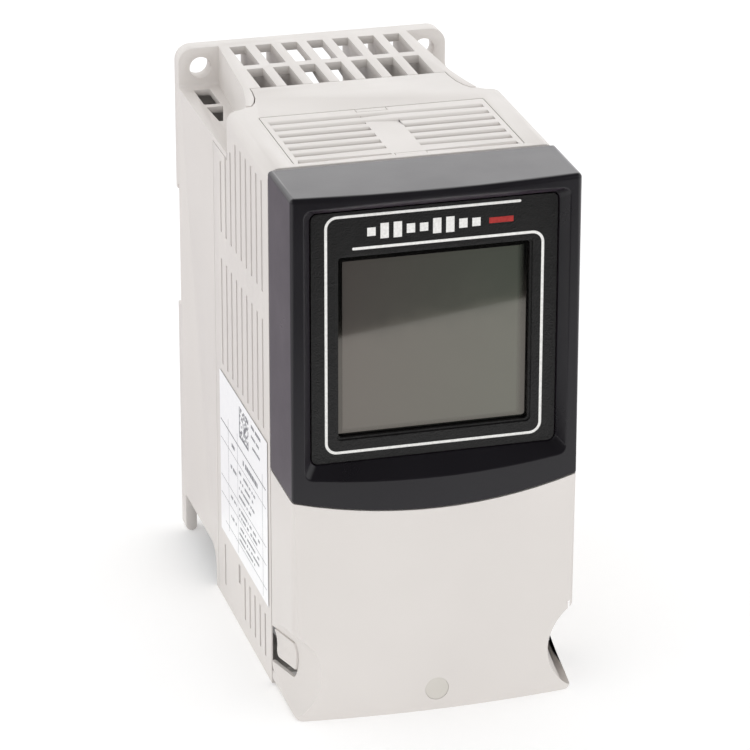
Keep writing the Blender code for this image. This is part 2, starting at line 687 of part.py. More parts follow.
def fan_guard():
    """Plastic finger guard of rings and spokes under the fan."""
    top = FAN_Z[0] - GAP
    bottom = top - 1.4
    body = rod(PLAN, 0, FAN_DEPTH, 19.4, bottom, top, 40)
    for ring in range(3):
        gap = rod(PLAN, 0, FAN_DEPTH, 18.0 - 4.6 * ring, bottom - 1, top + 1, 36)
        cut(gap, rod(PLAN, 0, FAN_DEPTH, 14.8 - 4.6 * ring, bottom - 2, top + 2, 36))
        cut(body, gap)
    for turn in range(2):
        angle = math.radians(45 + 90 * turn)
        along = Vector((math.cos(angle), math.sin(angle))) * (FAN_SCREW * math.sqrt(2))
        across = Vector((-along.y, along.x)).normalized() * 0.9
        middle = Vector((0, FAN_DEPTH))
        ends = (middle - along - across, middle + along - across, middle + along + across, middle - along + across)
        join(body, prism(PLAN, [tuple(end) for end in ends], bottom + 0.1, top - 0.1))
    for x, depth in fan_corners():
        join(body, rod(PLAN, x, depth, 3.2, bottom, top, 16))
        cut(body, rod(PLAN, x, depth, 1.8, bottom - 1, top + 1, 12))
    return name_part(body, "fan_guard", BLACK, 0.5)


def screw(view, a, b, seat, towards, head_radius, head, shank_radius, shank, sides=14):
    """Slotted screw: its head stands from seat towards the driver, its shank goes the other way."""
    top = seat + towards * head
    body = rod(view, a, b, head_radius, min(seat, top), max(seat, top), sides)
    if shank:
        tip = seat - towards * shank
        inside = seat + towards * head / 3
        join(body, rod(view, a, b, shank_radius, min(tip, inside), max(tip, inside), 10))
    floor = seat + towards * head * 0.5
    above = top + towards * 1.0
    half = 0.21 * head_radius
    slot = box_outline(a - half, a + half, b - 1.3 * head_radius, b + 1.3 * head_radius)
    cut(body, prism(view, slot, min(floor, above), max(floor, above)))
    return body


def fan_screws():
    seat = FAN_Z[0] - GAP - 1.4 - GAP
    screws = [screw(PLAN, x, depth, seat, -1, 2.8, 1.6, 1.4, 15.0) for x, depth in fan_corners()]
    name_each(screws, "fan_screw", STEEL, 0.35, 1.0)


def fan_lead():
    """Two-core lead from the fan up to the power board, held all along its length."""
    curve = bpy.data.curves.new("fan_lead", "CURVE")
    curve.dimensions = "3D"
    curve.bevel_depth = 0.8 * MM
    curve.bevel_resolution = 2
    curve.use_fill_caps = True
    line = curve.splines.new("POLY")
    start = at(24.0, 49.0, 19.0)
    steps = 24
    points = [at(20.4, 30.0, 19.0), at(22.4, 30.4, 19.0), at(23.8, 32.4, 18.9)]
    for step in range(steps + 1):
        share = step / steps
        points.append(start.lerp(at(30.0, 49.8, 40.0), share) + Vector((math.sin(share * math.pi) * 2 * MM, 0, 0)))
    points.append(at(30.0, 51.4, 42.0))
    points.append(at(30.0, 53.6, 42.6))
    line.points.add(len(points) - 1)
    for node, point in zip(line.points, points):
        node.co = (*point, 1.0)
    item = bpy.data.objects.new("fan_lead", curve)
    bpy.context.collection.objects.link(item)
    paint = bpy.data.materials.new("fan_lead")
    paint.use_nodes = True
    paint.node_tree.nodes["Principled BSDF"].inputs["Base Color"].default_value = (0.5, 0.02, 0.02, 1.0)
    curve.materials.append(paint)
    return item


# Power electronics on the heat sink

POWER_BOARD = (54.0, 55.6)
STANDOFFS = ((-33.0, 40.0), (33.0, 46.0), (-33.0, 122.0), (33.0, 122.0))
MODULE_SCREWS = ((-25.5, 82.0), (25.5, 82.0))


def power_stage():
    module = prism(FRONT, box_outline(-29, 29, 62, 102, 2, 3), SINK_BASE[1] + GAP, 50.6)
    for x, z in MODULE_SCREWS:
        cut(module, rod(FRONT, x, z, 1.9, 40, 60, 12))
    name_part(module, "power_module", (0.03, 0.03, 0.03, 1.0), 0.5)
    screws = [screw(FRONT, x, z, 50.6 + GAP, 1, 2.8, 1.5, 1.3, 4.2) for x, z in MODULE_SCREWS]
    name_each(screws, "module_screw", STEEL, 0.35, 1.0)
    board = prism(FRONT, box_outline(-36.8, 36.8, 18.5, 134, 1.5, 3), *POWER_BOARD)
    for x, z in STANDOFFS:
        cut(board, rod(FRONT, x, z, 1.8, POWER_BOARD[0] - 3, POWER_BOARD[1] + 3, 12))
    name_part(board, "power_board", BOARD_GREEN, 0.5)
    posts = []
    for x, z in STANDOFFS:
        post = rod(FRONT, x, z, 3.0, SINK_BASE[1] + GAP, POWER_BOARD[0] - GAP, 6)
        join(post, rod(FRONT, x, z, 1.3, SINK_BASE[1] - 4, SINK_BASE[1] + 2, 10))
        cut(post, rod(FRONT, x, z, 1.6, 49.5, POWER_BOARD[0] + 2, 10))
        posts.append(post)
    name_each(posts, "board_standoff", (0.6, 0.5, 0.25, 1.0), 0.35, 1.0)
    seat = POWER_BOARD[1] + GAP
    screws = [screw(FRONT, x, z, seat, 1, 2.7, 1.6, 1.25, 5.2) for x, z in STANDOFFS]
    name_each(screws, "board_screw", STEEL, 0.35, 1.0)


def power_components():
    seat = POWER_BOARD[1] + GAP
    cans = []
    for x in (-13.5, 13.5):
        can = rod(FRONT, x, 110.0, 11.0, seat, seat + 42.0, 32)
        ring = rod(FRONT, x, 110.0, 12.0, seat + 2.4, seat + 3.6, 32)
        cut(ring, rod(FRONT, x, 110.0, 10.4, seat + 1, seat + 5, 32))
        cut(can, ring)
        cans.append(can)
    name_each(cans, "bus_capacitor", (0.05, 0.06, 0.12, 1.0), 0.3)
    core = block(-31, -9, seat, seat + 20, 62, 86)
    join(core, block(-27.5, -12.5, seat + 3, seat + 17, 60, 88))
    name_part(core, "power_transformer", (0.2, 0.16, 0.1, 1.0), 0.5)
    relay = prism(FRONT, box_outline(8, 27, 66, 82, 0.8, 2), seat, seat + 15.5)
    name_part(relay, "charge_relay", (0.75, 0.75, 0.72, 1.0), 0.4)
    link = prism(SIDE, [(seat, 52.0), (80.0, 54.0), (103.7, 52.0), (103.7, 51.4), (80.0, 53.4), (seat, 51.4)], 22, 33)
    name_part(link, "board_ribbon", (0.5, 0.5, 0.5, 1.0), 0.5)


# Terminal bay

POWER_POLES = 7
POWER_PITCH = 9.2
POWER_BLOCK = (80.0, 19.0, 35.0)        # front face, bottom and top
CONTROL_POLES = 9
CONTROL_PITCH = 4.8
CONTROL_BLOCK = (118.0, 32.0, 43.0)
CONTROL_FIRST = -28.6
CONTROL_BOARD = (103.9, 105.5)


def terminal_block(first, pitch, poles, rear, front, low, high, well, entry):
    """Row of wire entries that face down, with screw wells that face forwards."""
    margin = pitch / 2 + 0.6
    last = first + pitch * (poles - 1)
    face = [(rear, low, 0), (front, low, 0.6), (front, high - 3, 0.6), (front - 2.5, high, 0.6), (rear, high, 0)]
    body = prism(SIDE, rounded(face, 2), first - margin, last + margin)
    middle = (low + high) / 2
    for pole in range(poles):
        x = first + pitch * pole
        cut(body, rod(FRONT, x, middle, well, front - 6, front + 2, 14))
        cut(body, block(x - entry, x + entry, front - 6 - 2 * entry, front - 6.6, low - 2, middle + 1))
    return body


def terminal_screws(first, pitch, poles, seat, z, radius):
    """Clamp screws at the bottom of the wells."""
    return [screw(FRONT, first + pitch * pole, z, seat, 1, radius, 1.6, radius * 0.5, 0, 12)
            for pole in range(poles)]


def terminals():
    front, low, high = POWER_BLOCK
    first = -POWER_PITCH * (POWER_POLES - 1) / 2
    rear = POWER_BOARD[1] + GAP
    body = terminal_block(first, POWER_PITCH, POWER_POLES, rear, front, low, high, 3.4, 3.0)
    name_part(body, "power_terminal_block", (0.04, 0.04, 0.04, 1.0), 0.45)
    screws = terminal_screws(first, POWER_PITCH, POWER_POLES, front - 5.4, (low + high) / 2, 2.9)
    name_each(screws, "power_terminal_screw", STEEL, 0.35, 1.0)
    front, low, high = CONTROL_BLOCK
    rear = CONTROL_BOARD[1] + GAP
    body = terminal_block(CONTROL_FIRST, CONTROL_PITCH, CONTROL_POLES, rear, front, low, high, 1.8, 1.3)
    join(body, *terminal_screws(CONTROL_FIRST, CONTROL_PITCH, CONTROL_POLES, front - 6.2, (low + high) / 2, 1.4))
    name_part(body, "control_terminal_block", (0.05, 0.2, 0.1, 1.0), 0.45)


def control_board():
    board = prism(FRONT, box_outline(-35, 35, 30, 143, 1.5, 3), *CONTROL_BOARD)
    for x, z in BOARD_POSTS:
        cut(board, rod(FRONT, x, z, 1.5, CONTROL_BOARD[0] - 3, CONTROL_BOARD[1] + 3, 12))
    name_part(board, "control_board", BOARD_GREEN, 0.5)
    seat = CONTROL_BOARD[0] - GAP
    screws = [screw(FRONT, x, z, seat, -1, 2.6, 1.5, 1.1, 3.6) for x, z in BOARD_POSTS]
    name_each(screws, "control_board_screw", STEEL, 0.35, 1.0)
    port = prism(FRONT, box_outline(17.2, 33.2, 32, 47, 0.6, 2), CONTROL_BOARD[1] + GAP, 119.5)
    cut(port, block(19.4, 31.0, 108.6, 116.6, 30, 44))
    cut(port, block(22.2, 28.2, 116.0, 118.4, 30, 43))
    name_part(port, "network_port", (0.6, 0.6, 0.58, 1.0), 0.4)


def ground_parts():
    """Earth strap from the heat sink's base to two screws under the power terminals."""
    outline = [(46.3, 7.0), (46.3, 34.0), (47.5, 34.0), (47.5, 8.2), (69.0, 8.2), (69.0, 17.0), (70.2, 17.0),
               (70.2, 7.0)]
    body = prism(SIDE, outline, -16, 16)
    for x in (-8, 8):
        cut(body, rod(FRONT, x, 12.6, 1.9, 66, 73, 12))
    name_part(body, "ground_plate", STEEL, 0.35, 1.0)
    screws = [screw(FRONT, x, 12.6, 70.2 + GAP, 1, 3.1, 2.0, 1.5, 5.0) for x in (-8, 8)]
    name_each(screws, "ground_screw", (0.3, 0.45, 0.25, 1.0), 0.4, 1.0)


def wiring_guard():
    """Bottom plate of the terminal bay, with the openings for the cables."""
    body = prism(PLAN, box_outline(-37.8, 37.8, 49.0, 111.4, 1.5, 3), 2.6, 4.4)
    for x in (-21, 21):
        cut(body, prism(PLAN, box_outline(x - 13, x + 13, 72.5, 94.5, 6, 5), 0, 8))
    cut(body, prism(PLAN, box_outline(-20, 20, 98.5, 108.0, 4.2, 5), 0, 8))
    for vent in range(6):
        depth = 51.5 + vent * 3.2
        cut(body, block(-30, 30, depth, depth + 1.6, 0, 8))
    return name_part(body, "wiring_guard", HOUSING, 0.45)


# Latch for the 35 mm rail

LATCH_BODY = (1.3, 4.0)
LATCH_Z = (1.5, 72.0)
LATCH_WINDOW = (46.3, 62.0)
SPRING_TURNS = 7
SPRING_RADIUS = 0.95
SPRING_WIRE = 0.22


def din_latch():
    body = block(-LATCH_HALF, LATCH_HALF, *LATCH_BODY, *LATCH_Z)
    hook = [(1.3, 71.0), (1.3, 74.2), (1.9, 75.4), (2.3, 75.4), (2.3, 71.0)]
    join(body, prism(SIDE, hook, -7.6, 7.6))
    cut(body, block(-3.2, 3.2, 0, 6, *LATCH_WINDOW), block(-4, 4, 0, 6, 4.5, 8.5))
    item = name_part(body, "din_latch", BLACK, 0.5)
    return set_origin(item, at(0, 2.65, PEG[1]))


def din_latch_spring():
    """Coil spring between the housing's peg and the latch's window."""
    low = PEG[1] + GAP + SPRING_WIRE
    high = LATCH_WINDOW[1] - GAP - SPRING_WIRE
    curve = bpy.data.curves.new("din_latch_spring", "CURVE")
    curve.dimensions = "3D"
    curve.bevel_depth = SPRING_WIRE * MM
    curve.bevel_resolution = 1
    curve.use_fill_caps = True
    line = curve.splines.new("POLY")
    around = 10
    count = SPRING_TURNS * around + 1
    line.points.add(count - 1)
    for step in range(count):
        angle = math.tau * step / around
        z = low + (high - low) * step / (count - 1)
        line.points[step].co = (*at(SPRING_RADIUS * math.cos(angle), 2.65 + SPRING_RADIUS * math.sin(angle), z), 1.0)
    item = bpy.data.objects.new("din_latch_spring", curve)
    bpy.context.collection.objects.link(item)
    paint = bpy.data.materials.new("din_latch_spring")
    paint.use_nodes = True
    paint.node_tree.nodes["Principled BSDF"].inputs["Metallic"].default_value = 1.0
    curve.materials.append(paint)
    return item


def main():
    clear_scene()
    rear_housing()
    front_housing()
    top_vent_cover()
    display_bezel()
    display_panel()
    display_parts()
    cover = front_cover()
    cover_plug()
    for side, name in ((-1, "cover_tab_left"), (1, "cover_tab_right")):
        tab = cover_tab(side, name)
        place = tab.location - cover.location
        tab.parent = cover
        tab.location = place
    rating_label()
    heat_sink()
    fan_frame()
    fan_rotor()
    fan_guard()
    fan_screws()
    fan_lead()
    power_stage()
    power_components()
    terminals()
    control_board()
    ground_parts()
    wiring_guard()
    din_latch()
    din_latch_spring()


main()
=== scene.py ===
import json
import math
import random

import bmesh
import bpy
from mathutils import Matrix, Vector


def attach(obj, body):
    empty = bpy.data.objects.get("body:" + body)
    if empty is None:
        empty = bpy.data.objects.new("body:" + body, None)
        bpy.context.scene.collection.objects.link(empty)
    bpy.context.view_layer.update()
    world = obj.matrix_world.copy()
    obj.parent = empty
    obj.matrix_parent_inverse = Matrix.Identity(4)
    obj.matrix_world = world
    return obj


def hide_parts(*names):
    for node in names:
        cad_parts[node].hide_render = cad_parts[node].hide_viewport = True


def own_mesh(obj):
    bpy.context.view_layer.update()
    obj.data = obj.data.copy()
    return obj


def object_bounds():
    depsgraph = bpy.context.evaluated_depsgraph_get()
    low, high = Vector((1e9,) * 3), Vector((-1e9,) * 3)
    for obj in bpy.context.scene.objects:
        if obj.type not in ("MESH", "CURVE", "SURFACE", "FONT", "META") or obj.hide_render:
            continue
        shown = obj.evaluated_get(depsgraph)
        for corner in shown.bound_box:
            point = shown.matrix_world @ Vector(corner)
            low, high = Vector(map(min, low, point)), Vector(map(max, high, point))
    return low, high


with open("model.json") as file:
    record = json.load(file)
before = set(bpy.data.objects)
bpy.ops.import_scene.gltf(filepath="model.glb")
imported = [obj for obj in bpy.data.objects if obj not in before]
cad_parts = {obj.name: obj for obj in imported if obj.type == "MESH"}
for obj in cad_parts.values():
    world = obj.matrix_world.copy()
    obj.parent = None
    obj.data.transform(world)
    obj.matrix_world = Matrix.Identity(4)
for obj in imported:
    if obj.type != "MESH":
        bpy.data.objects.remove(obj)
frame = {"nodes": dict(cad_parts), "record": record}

mm = 0.001
cadLow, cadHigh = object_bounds()
wallY = cadHigh.y                                 # the mounting wall
half = 40.0                                       # of the drive's width
print("frame loaded:", len(frame["nodes"]), "nodes")


# places are given as x, depth in front of the wall, and z, in millimetres
def at(x, depth, z):
    return Vector((x * mm, wallY - depth * mm, z * mm))


def inTerms(point):
    return point.x / mm, (wallY - point.y) / mm, point.z / mm


def pickOnly(item):
    bpy.ops.object.select_all(action="DESELECT")
    item.select_set(True)
    bpy.context.view_layer.objects.active = item


def settle(item, name):
    pickOnly(item)
    bpy.ops.object.transform_apply(location=True, rotation=True, scale=True)
    item.name = name
    item.data.name = name
    return item


def addBlock(name, xs, depths, zs):
    bpy.ops.object.select_all(action="DESELECT")
    middle = at(sum(xs) / 2, sum(depths) / 2, sum(zs) / 2)
    size = ((xs[1] - xs[0]) * mm, (depths[1] - depths[0]) * mm, (zs[1] - zs[0]) * mm)
    bpy.ops.mesh.primitive_cube_add(size=1, location=middle, scale=size)
    return settle(bpy.context.active_object, name)


def addRod(name, start, end, radius, sides=48, turn=0.0):
    bpy.ops.object.select_all(action="DESELECT")
    first, last = at(*start), at(*end)
    lean = (last - first).to_track_quat("Z", "Y") @ Matrix.Rotation(turn, 3, "Z").to_quaternion()
    bpy.ops.mesh.primitive_cylinder_add(vertices=sides, radius=radius * mm, depth=(last - first).length,
                                        location=(first + last) / 2, rotation=lean.to_euler())
    return settle(bpy.context.active_object, name)


def editPick(item, kind, rule):
    # select points, edges or faces whose corners all pass the rule, and stay in edit mode
    pickOnly(item)
    bpy.ops.object.mode_set(mode="EDIT")
    bpy.ops.mesh.select_mode(type=kind)
    bpy.ops.mesh.select_all(action="DESELECT")
    shape = bmesh.from_edit_mesh(item.data)
    parts = {"VERT": shape.verts, "EDGE": shape.edges, "FACE": shape.faces}[kind]
    count = 0
    for part in parts:
        corners = [part] if kind == "VERT" else part.verts
        if rule(*[inTerms(corner.co) for corner in corners]):
            part.select_set(True)
            count += 1
    bmesh.update_edit_mesh(item.data)
    return count


def editDone():
    bpy.ops.object.mode_set(mode="OBJECT")


def roundEdges(item, rule, width, steps=4):
    if editPick(item, "EDGE", rule):
        bpy.ops.mesh.bevel(offset_type="OFFSET", offset=width * mm, segments=steps, affect="EDGES")
    editDone()


def shiftPoints(item, rule, x=0.0, depth=0.0, z=0.0):
    editPick(item, "VERT", rule)
    bpy.ops.transform.translate(value=(x * mm, -depth * mm, z * mm))
    editDone()


def shapeWith(item, tool, operation):
    pickOnly(item)
    step = item.modifiers.new("shape", "BOOLEAN")
    step.operation = operation
    step.solver = "EXACT"
    step.object = tool
    bpy.ops.object.modifier_apply(modifier=step.name)
    bpy.data.objects.remove(tool)


def finishShape(item, width=0.3, steps=2, angle=32.0):
    # doubles merged, flat parts made one, every remaining sharp edge eased as on a moulding
    pickOnly(item)
    bpy.ops.object.mode_set(mode="EDIT")
    bpy.ops.mesh.select_all(action="SELECT")
    bpy.ops.mesh.remove_doubles(threshold=0.002 * mm)
    bpy.ops.mesh.dissolve_limited(angle_limit=math.radians(0.4))
    bpy.ops.mesh.normals_make_consistent(inside=False)
    editDone()
    if width:
        ease = item.modifiers.new("ease", "BEVEL")
        ease.width = width * mm
        ease.segments = steps
        ease.limit_method = "ANGLE"
        ease.angle_limit = math.radians(angle)
        bpy.ops.object.modifier_apply(modifier=ease.name)
    bpy.ops.object.shade_smooth_by_angle(angle=math.radians(40))
    even = item.modifiers.new("even", "WEIGHTED_NORMAL")
    even.keep_sharp = True
    bpy.ops.object.modifier_apply(modifier=even.name)
    return item


def easeNode(node, width, steps=2):
    # a CAD node keeps its own mesh; these stay live on it
    node.data.shade_smooth()
    weld = node.modifiers.new("weld", "WELD")
    weld.merge_threshold = 0.001 * mm
    flat = node.modifiers.new("flat", "DECIMATE")
    flat.decimate_type = "DISSOLVE"
    flat.angle_limit = math.radians(0.4)
    ease = node.modifiers.new("ease", "BEVEL")
    ease.width = width * mm
    ease.segments = steps
    ease.limit_method = "ANGLE"
    ease.angle_limit = math.radians(32)
    ease.harden_normals = True


def paint(item, material):
    item.data.materials.clear()
    item.data.materials.append(material)


def place(item, body, slot, material, *nodes):
    paint(item, material)
    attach(item, body)
    if nodes:
        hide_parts(*nodes)


# materials

def toLinear(hexColour):
    parts = [int(hexColour[k:k + 2], 16) / 255 for k in (1, 3, 5)]
    return (*[c / 12.92 if c <= 0.04045 else ((c + 0.055) / 1.055) ** 2.4 for c in parts], 1.0)


def addNode(tree, kind, settings=None, links=None):
    node = tree.nodes.new(kind)
    for key, value in (settings or {}).items():
        if isinstance(key, int) or key in node.inputs:
            node.inputs[key].default_value = value
        else:
            setattr(node, key, value)
    for key, source in (links or {}).items():
        tree.links.new(source, node.inputs[key])
    return node


def startMaterial(name, look):
    material = bpy.data.materials.new(name)
    material.use_nodes = True
    tree = material.node_tree
    shader = tree.nodes["Principled BSDF"]
    for socket, value in look.items():
        shader.inputs[socket].default_value = value
    spot = addNode(tree, "ShaderNodeTexCoord").outputs["Object"]
    return material, tree, shader, spot


def grain(tree, spot, sizeMm, detail=3.0, rough=0.55):
    # a noise whose features are about this many millimetres across
    settings = {"Scale": 0.5 / (sizeMm * mm), "Detail": detail, "Roughness": rough}
    return addNode(tree, "ShaderNodeTexNoise", settings, {"Vector": spot}).outputs["Fac"]


def addBump(tree, shader, height, tallMm, strength=1.0):
    bump = addNode(tree, "ShaderNodeBump", {"Strength": strength, "Distance": tallMm * mm},
                   {"Height": height})
    tree.links.new(bump.outputs["Normal"], shader.inputs["Normal"])


def combineHeights(tree, first, share, second):
    # first times share, plus second
    return addNode(tree, "ShaderNodeMath", {"operation": "MULTIPLY_ADD", 1: share},
                   {0: first, 2: second}).outputs[0]


def spread(tree, source, low, high, fromLow=0.3, fromHigh=0.7):
    return addNode(tree, "ShaderNodeMapRange",
                   {"From Min": fromLow, "From Max": fromHigh, "To Min": low, "To Max": high},
                   {"Value": source}).outputs["Result"]


def blendColours(tree, share, first, second):
    mix = addNode(tree, "ShaderNodeMix", {"data_type": "RGBA"}, {0: share})
    for key, colour in ((6, first), (7, second)):
        if isinstance(colour, str):
            mix.inputs[key].default_value = toLinear(colour)
        else:
            tree.links.new(colour, mix.inputs[key])
    return mix.outputs[2]


def mouldedPlastic(name, s):
    # injection moulding against a spark-eroded steel: a fine even grain that breaks up the highlights,
    # faint cloudiness of the pigment and slightly glossier patches where it was handled
    material, tree, shader, spot = startMaterial(name, s.get("look", {}))
    cloud = grain(tree, spot, s["cloudMm"], 2.0)
    colour = blendColours(tree, spread(tree, cloud, 0.0, 1.0), s["colour"], s["second"])
    tree.links.new(colour, shader.inputs["Base Color"])
    patch = grain(tree, spot, s["patchMm"], 4.0)
    tree.links.new(spread(tree, patch, s["rough"][0], s["rough"][1]), shader.inputs["Roughness"])
    fine = grain(tree, spot, s["grainMm"], 2.0)
    coarse = grain(tree, spot, s["grainMm"] * 3.1, 1.0)
    addBump(tree, shader, combineHeights(tree, coarse, 0.5, fine), s["heightMm"])
    return material


def workedMetal(name, s):
    # bare or plated metal with fine lines along the way it was drawn, pressed or turned
    material, tree, shader, spot = startMaterial(name, {"Metallic": 1.0, **s.get("look", {})})
    stretched = addNode(tree, "ShaderNodeMapping", {"Scale": s["stretch"]},
                        {"Vector": spot}).outputs["Vector"]
    lines = grain(tree, stretched, s["lineMm"], 3.0)
    cloud = grain(tree, spot, s["cloudMm"], 3.0)
    colour = blendColours(tree, spread(tree, cloud, 0.0, 1.0), s["colour"], s["second"])
    tree.links.new(colour, shader.inputs["Base Color"])
    tree.links.new(spread(tree, lines, s["rough"][0], s["rough"][1]), shader.inputs["Roughness"])
    addBump(tree, shader, lines, s["heightMm"])
    return material


def laminateBoard(name, s):
    # glass-fibre laminate under green solder mask: faint tracks below the mask and tinned pads through it
    material, tree, shader, spot = startMaterial(name, {"Coat Weight": 0.4, "Coat Roughness": 0.2})
    turned = addNode(tree, "ShaderNodeMapping", {"Rotation": (math.radians(90), 0, 0)},
                     {"Vector": spot}).outputs["Vector"]
    tracks = addNode(tree, "ShaderNodeTexBrick",
                     {"Scale": 1.0, "Mortar Size": s["trackMm"] * mm, "Mortar Smooth": 0.2,
                      "Brick Width": s["trackPitchMm"] * mm, "Row Height": s["trackPitchMm"] * 0.42 * mm,
                      "offset": 0.37, "offset_frequency": 3, "squash": 1.7, "squash_frequency": 2},
                     {"Vector": turned}).outputs["Fac"]
    pads = addNode(tree, "ShaderNodeTexVoronoi", {"Scale": 1 / (s["padPitchMm"] * mm), "Randomness": 0.35},
                   {"Vector": turned}).outputs["Distance"]
    isPad = spread(tree, pads, 0.0, 1.0, 0.16, 0.13)
    mask = blendColours(tree, tracks, s["mask"], s["track"])
    tree.links.new(blendColours(tree, isPad, mask, s["pad"]), shader.inputs["Base Color"])
    tree.links.new(isPad, shader.inputs["Metallic"])
    tree.links.new(spread(tree, grain(tree, spot, 4.0), 0.32, 0.5), shader.inputs["Roughness"])
    height = addNode(tree, "ShaderNodeMath", {"operation": "ADD"}, {0: tracks, 1: isPad}).outputs[0]
    addBump(tree, shader, height, 0.03, 0.6)
    return material


def pebbledFilm(name, s):
    # screen-printed polyester over black: an irregular pebble grain with tiny glints on its highest beads
    material, tree, shader, spot = startMaterial(name, {"IOR": 1.5, "Specular IOR Level": s["specular"]})
    pebble = addNode(tree, "ShaderNodeTexVoronoi", {"Scale": 1 / (s["pebbleMm"] * mm), "feature": "SMOOTH_F1",
                                                   "Smoothness": 0.5}, {"Vector": spot}).outputs["Distance"]
    broad = grain(tree, spot, s["pebbleMm"] * 4, 2.0)
    addBump(tree, shader, combineHeights(tree, broad, 0.6, pebble), s["heightMm"])
    colour = blendColours(tree, spread(tree, broad, 0.0, 1.0), s["colour"], s["second"])
    tree.links.new(colour, shader.inputs["Base Color"])
    tree.links.new(spread(tree, pebble, s["rough"][0], s["rough"][1], 0.1, 0.7), shader.inputs["Roughness"])
    return material


def displayCell(name, s):
    # liquid-crystal cell behind glossy polariser: olive grey and mirror-like, with a crisp black border at
    # its left and top, and a painted shadow that darkens it softly towards its right and bottom edges
    material, tree, shader, spot = startMaterial(name, s["look"])
    parts = addNode(tree, "ShaderNodeSeparateXYZ", {}, {"Vector": spot})
    left, right = (reach * mm for reach in s["xMm"])
    low, high = (reach * mm for reach in s["zMm"])
    shadowFade, crisp = s["shadowFadeMm"] * mm, 0.15 * mm
    edge = spread(tree, parts.outputs["X"], 1.0, 0.0, left, left + crisp)
    # the soft fades at the right and bottom are painted shadow; the crisp cut-offs at the left and top are
    # the cell's own black border
    for socket, start, end in (("X", right - shadowFade, right), ("Z", low + shadowFade, low), ("Z", high - crisp, high)):
        near = spread(tree, parts.outputs[socket], 0.0, 1.0, start, end)
        edge = addNode(tree, "ShaderNodeMath", {"operation": "MAXIMUM"}, {0: edge, 1: near}).outputs[0]
    across = spread(tree, parts.outputs["X"], 0.0, 1.0, left, right)
    cloud = grain(tree, spot, 9.0, 3.0)
    tint = blendColours(tree, across, s["colour"], s["second"])
    soft = addNode(tree, "ShaderNodeMix", {"data_type": "RGBA", "blend_type": "MULTIPLY", 0: 0.12},
                   {6: tint, 7: cloud}).outputs[2]
    tree.links.new(blendColours(tree, edge, soft, s["edge"]), shader.inputs["Base Color"])
    tree.links.new(spread(tree, grain(tree, spot, 2.5), 0.05, 0.09), shader.inputs["Roughness"])
    return material


def coatedSheet(name, s):
    # printed paper, film, tape or insulation: soft fibre grain and a slight unevenness of tone
    material, tree, shader, spot = startMaterial(name, s.get("look", {}))
    stretched = addNode(tree, "ShaderNodeMapping", {"Scale": s.get("stretch", (1, 1, 1))},
                        {"Vector": spot}).outputs["Vector"]
    fibre = grain(tree, stretched, s["grainMm"], 3.0)
    tree.links.new(blendColours(tree, spread(tree, fibre, 0.0, 1.0), s["colour"], s["second"]),
                   shader.inputs["Base Color"])
    tree.links.new(spread(tree, fibre, s["rough"][0], s["rough"][1]), shader.inputs["Roughness"])
    addBump(tree, shader, fibre, s["heightMm"])
    return material


housingAbs = mouldedPlastic("housingAbsSparkGrain", {
    "colour": "#dcd7d3", "second": "#d8d3cf", "cloudMm": 22.0, "patchMm": 7.0, "rough": (0.42, 0.52),
    "grainMm": 0.45, "heightMm": 0.008})          # grain drawn at 0.45 mm, coarser than the real 0.1 mm
plugAbs = mouldedPlastic("plugAbsPolished", {
    "colour": "#cfcbc4", "second": "#cac6bf", "cloudMm": 4.0, "patchMm": 2.0, "rough": (0.3, 0.4),
    "grainMm": 0.3, "heightMm": 0.004})
bezelAbs = mouldedPlastic("bezelAbsSatin", {
    "colour": "#18161a", "second": "#1b191e", "cloudMm": 18.0, "patchMm": 9.0, "rough": (0.27, 0.34),
    "grainMm": 0.4, "heightMm": 0.006,
    "look": {"Specular IOR Level": 0.4, "Sheen Weight": 0.08, "Sheen Roughness": 0.3,
             "Sheen Tint": toLinear("#ffdcff")}})
panelFilm = pebbledFilm("panelFilmPebbled", {
    "colour": "#0d0c0c", "second": "#131212", "pebbleMm": 0.42, "heightMm": 0.09, "rough": (0.28, 0.5),
    "specular": 0.45})
glassFilled = mouldedPlastic("glassFilledNylonBlack", {
    "colour": "#1b1b1c", "second": "#232324", "cloudMm": 6.0, "patchMm": 3.0, "rough": (0.4, 0.58),
    "grainMm": 0.35, "heightMm": 0.01})
terminalNylon = mouldedPlastic("terminalNylonGreen", {
    "colour": "#1f6b3c", "second": "#24764a", "cloudMm": 5.0, "patchMm": 3.0, "rough": (0.35, 0.48),
    "grainMm": 0.3, "heightMm": 0.006})
paleNylon = mouldedPlastic("paleNylonMoulded", {
    "colour": "#c9c8c0", "second": "#c1c0b8", "cloudMm": 6.0, "patchMm": 3.0, "rough": (0.35, 0.5),
    "grainMm": 0.3, "heightMm": 0.006})
boardLaminate = laminateBoard("boardLaminateMasked", {
    "mask": "#0f4a26", "track": "#17663a", "pad": "#c3c3bd", "trackMm": 0.35, "trackPitchMm": 9.0,
    "padPitchMm": 4.2})
sinkAluminium = workedMetal("heatSinkAluminiumExtruded", {
    "colour": "#c3c5c8", "second": "#b1b3b7", "stretch": (1.0, 1.0, 0.04), "lineMm": 0.3, "cloudMm": 12.0,
    "rough": (0.36, 0.5), "heightMm": 0.006})      # die lines run up the fins
zincSteel = workedMetal("zincPlatedSteelPressed", {
    "colour": "#c9ccd1", "second": "#b8bbbd", "stretch": (0.2, 1.0, 1.0), "lineMm": 0.25, "cloudMm": 3.0,
    "rough": (0.26, 0.4), "heightMm": 0.003})
turnedBrass = workedMetal("nickelledBrassTurned", {
    "colour": "#c9b37a", "second": "#bda66c", "stretch": (1.0, 0.1, 1.0), "lineMm": 0.2, "cloudMm": 2.0,
    "rough": (0.22, 0.34), "heightMm": 0.002})
springSteel = workedMetal("springSteelDrawn", {
    "colour": "#8f9094", "second": "#7f8084", "stretch": (1.0, 1.0, 1.0), "lineMm": 0.15, "cloudMm": 1.0,
    "rough": (0.22, 0.34), "heightMm": 0.001})
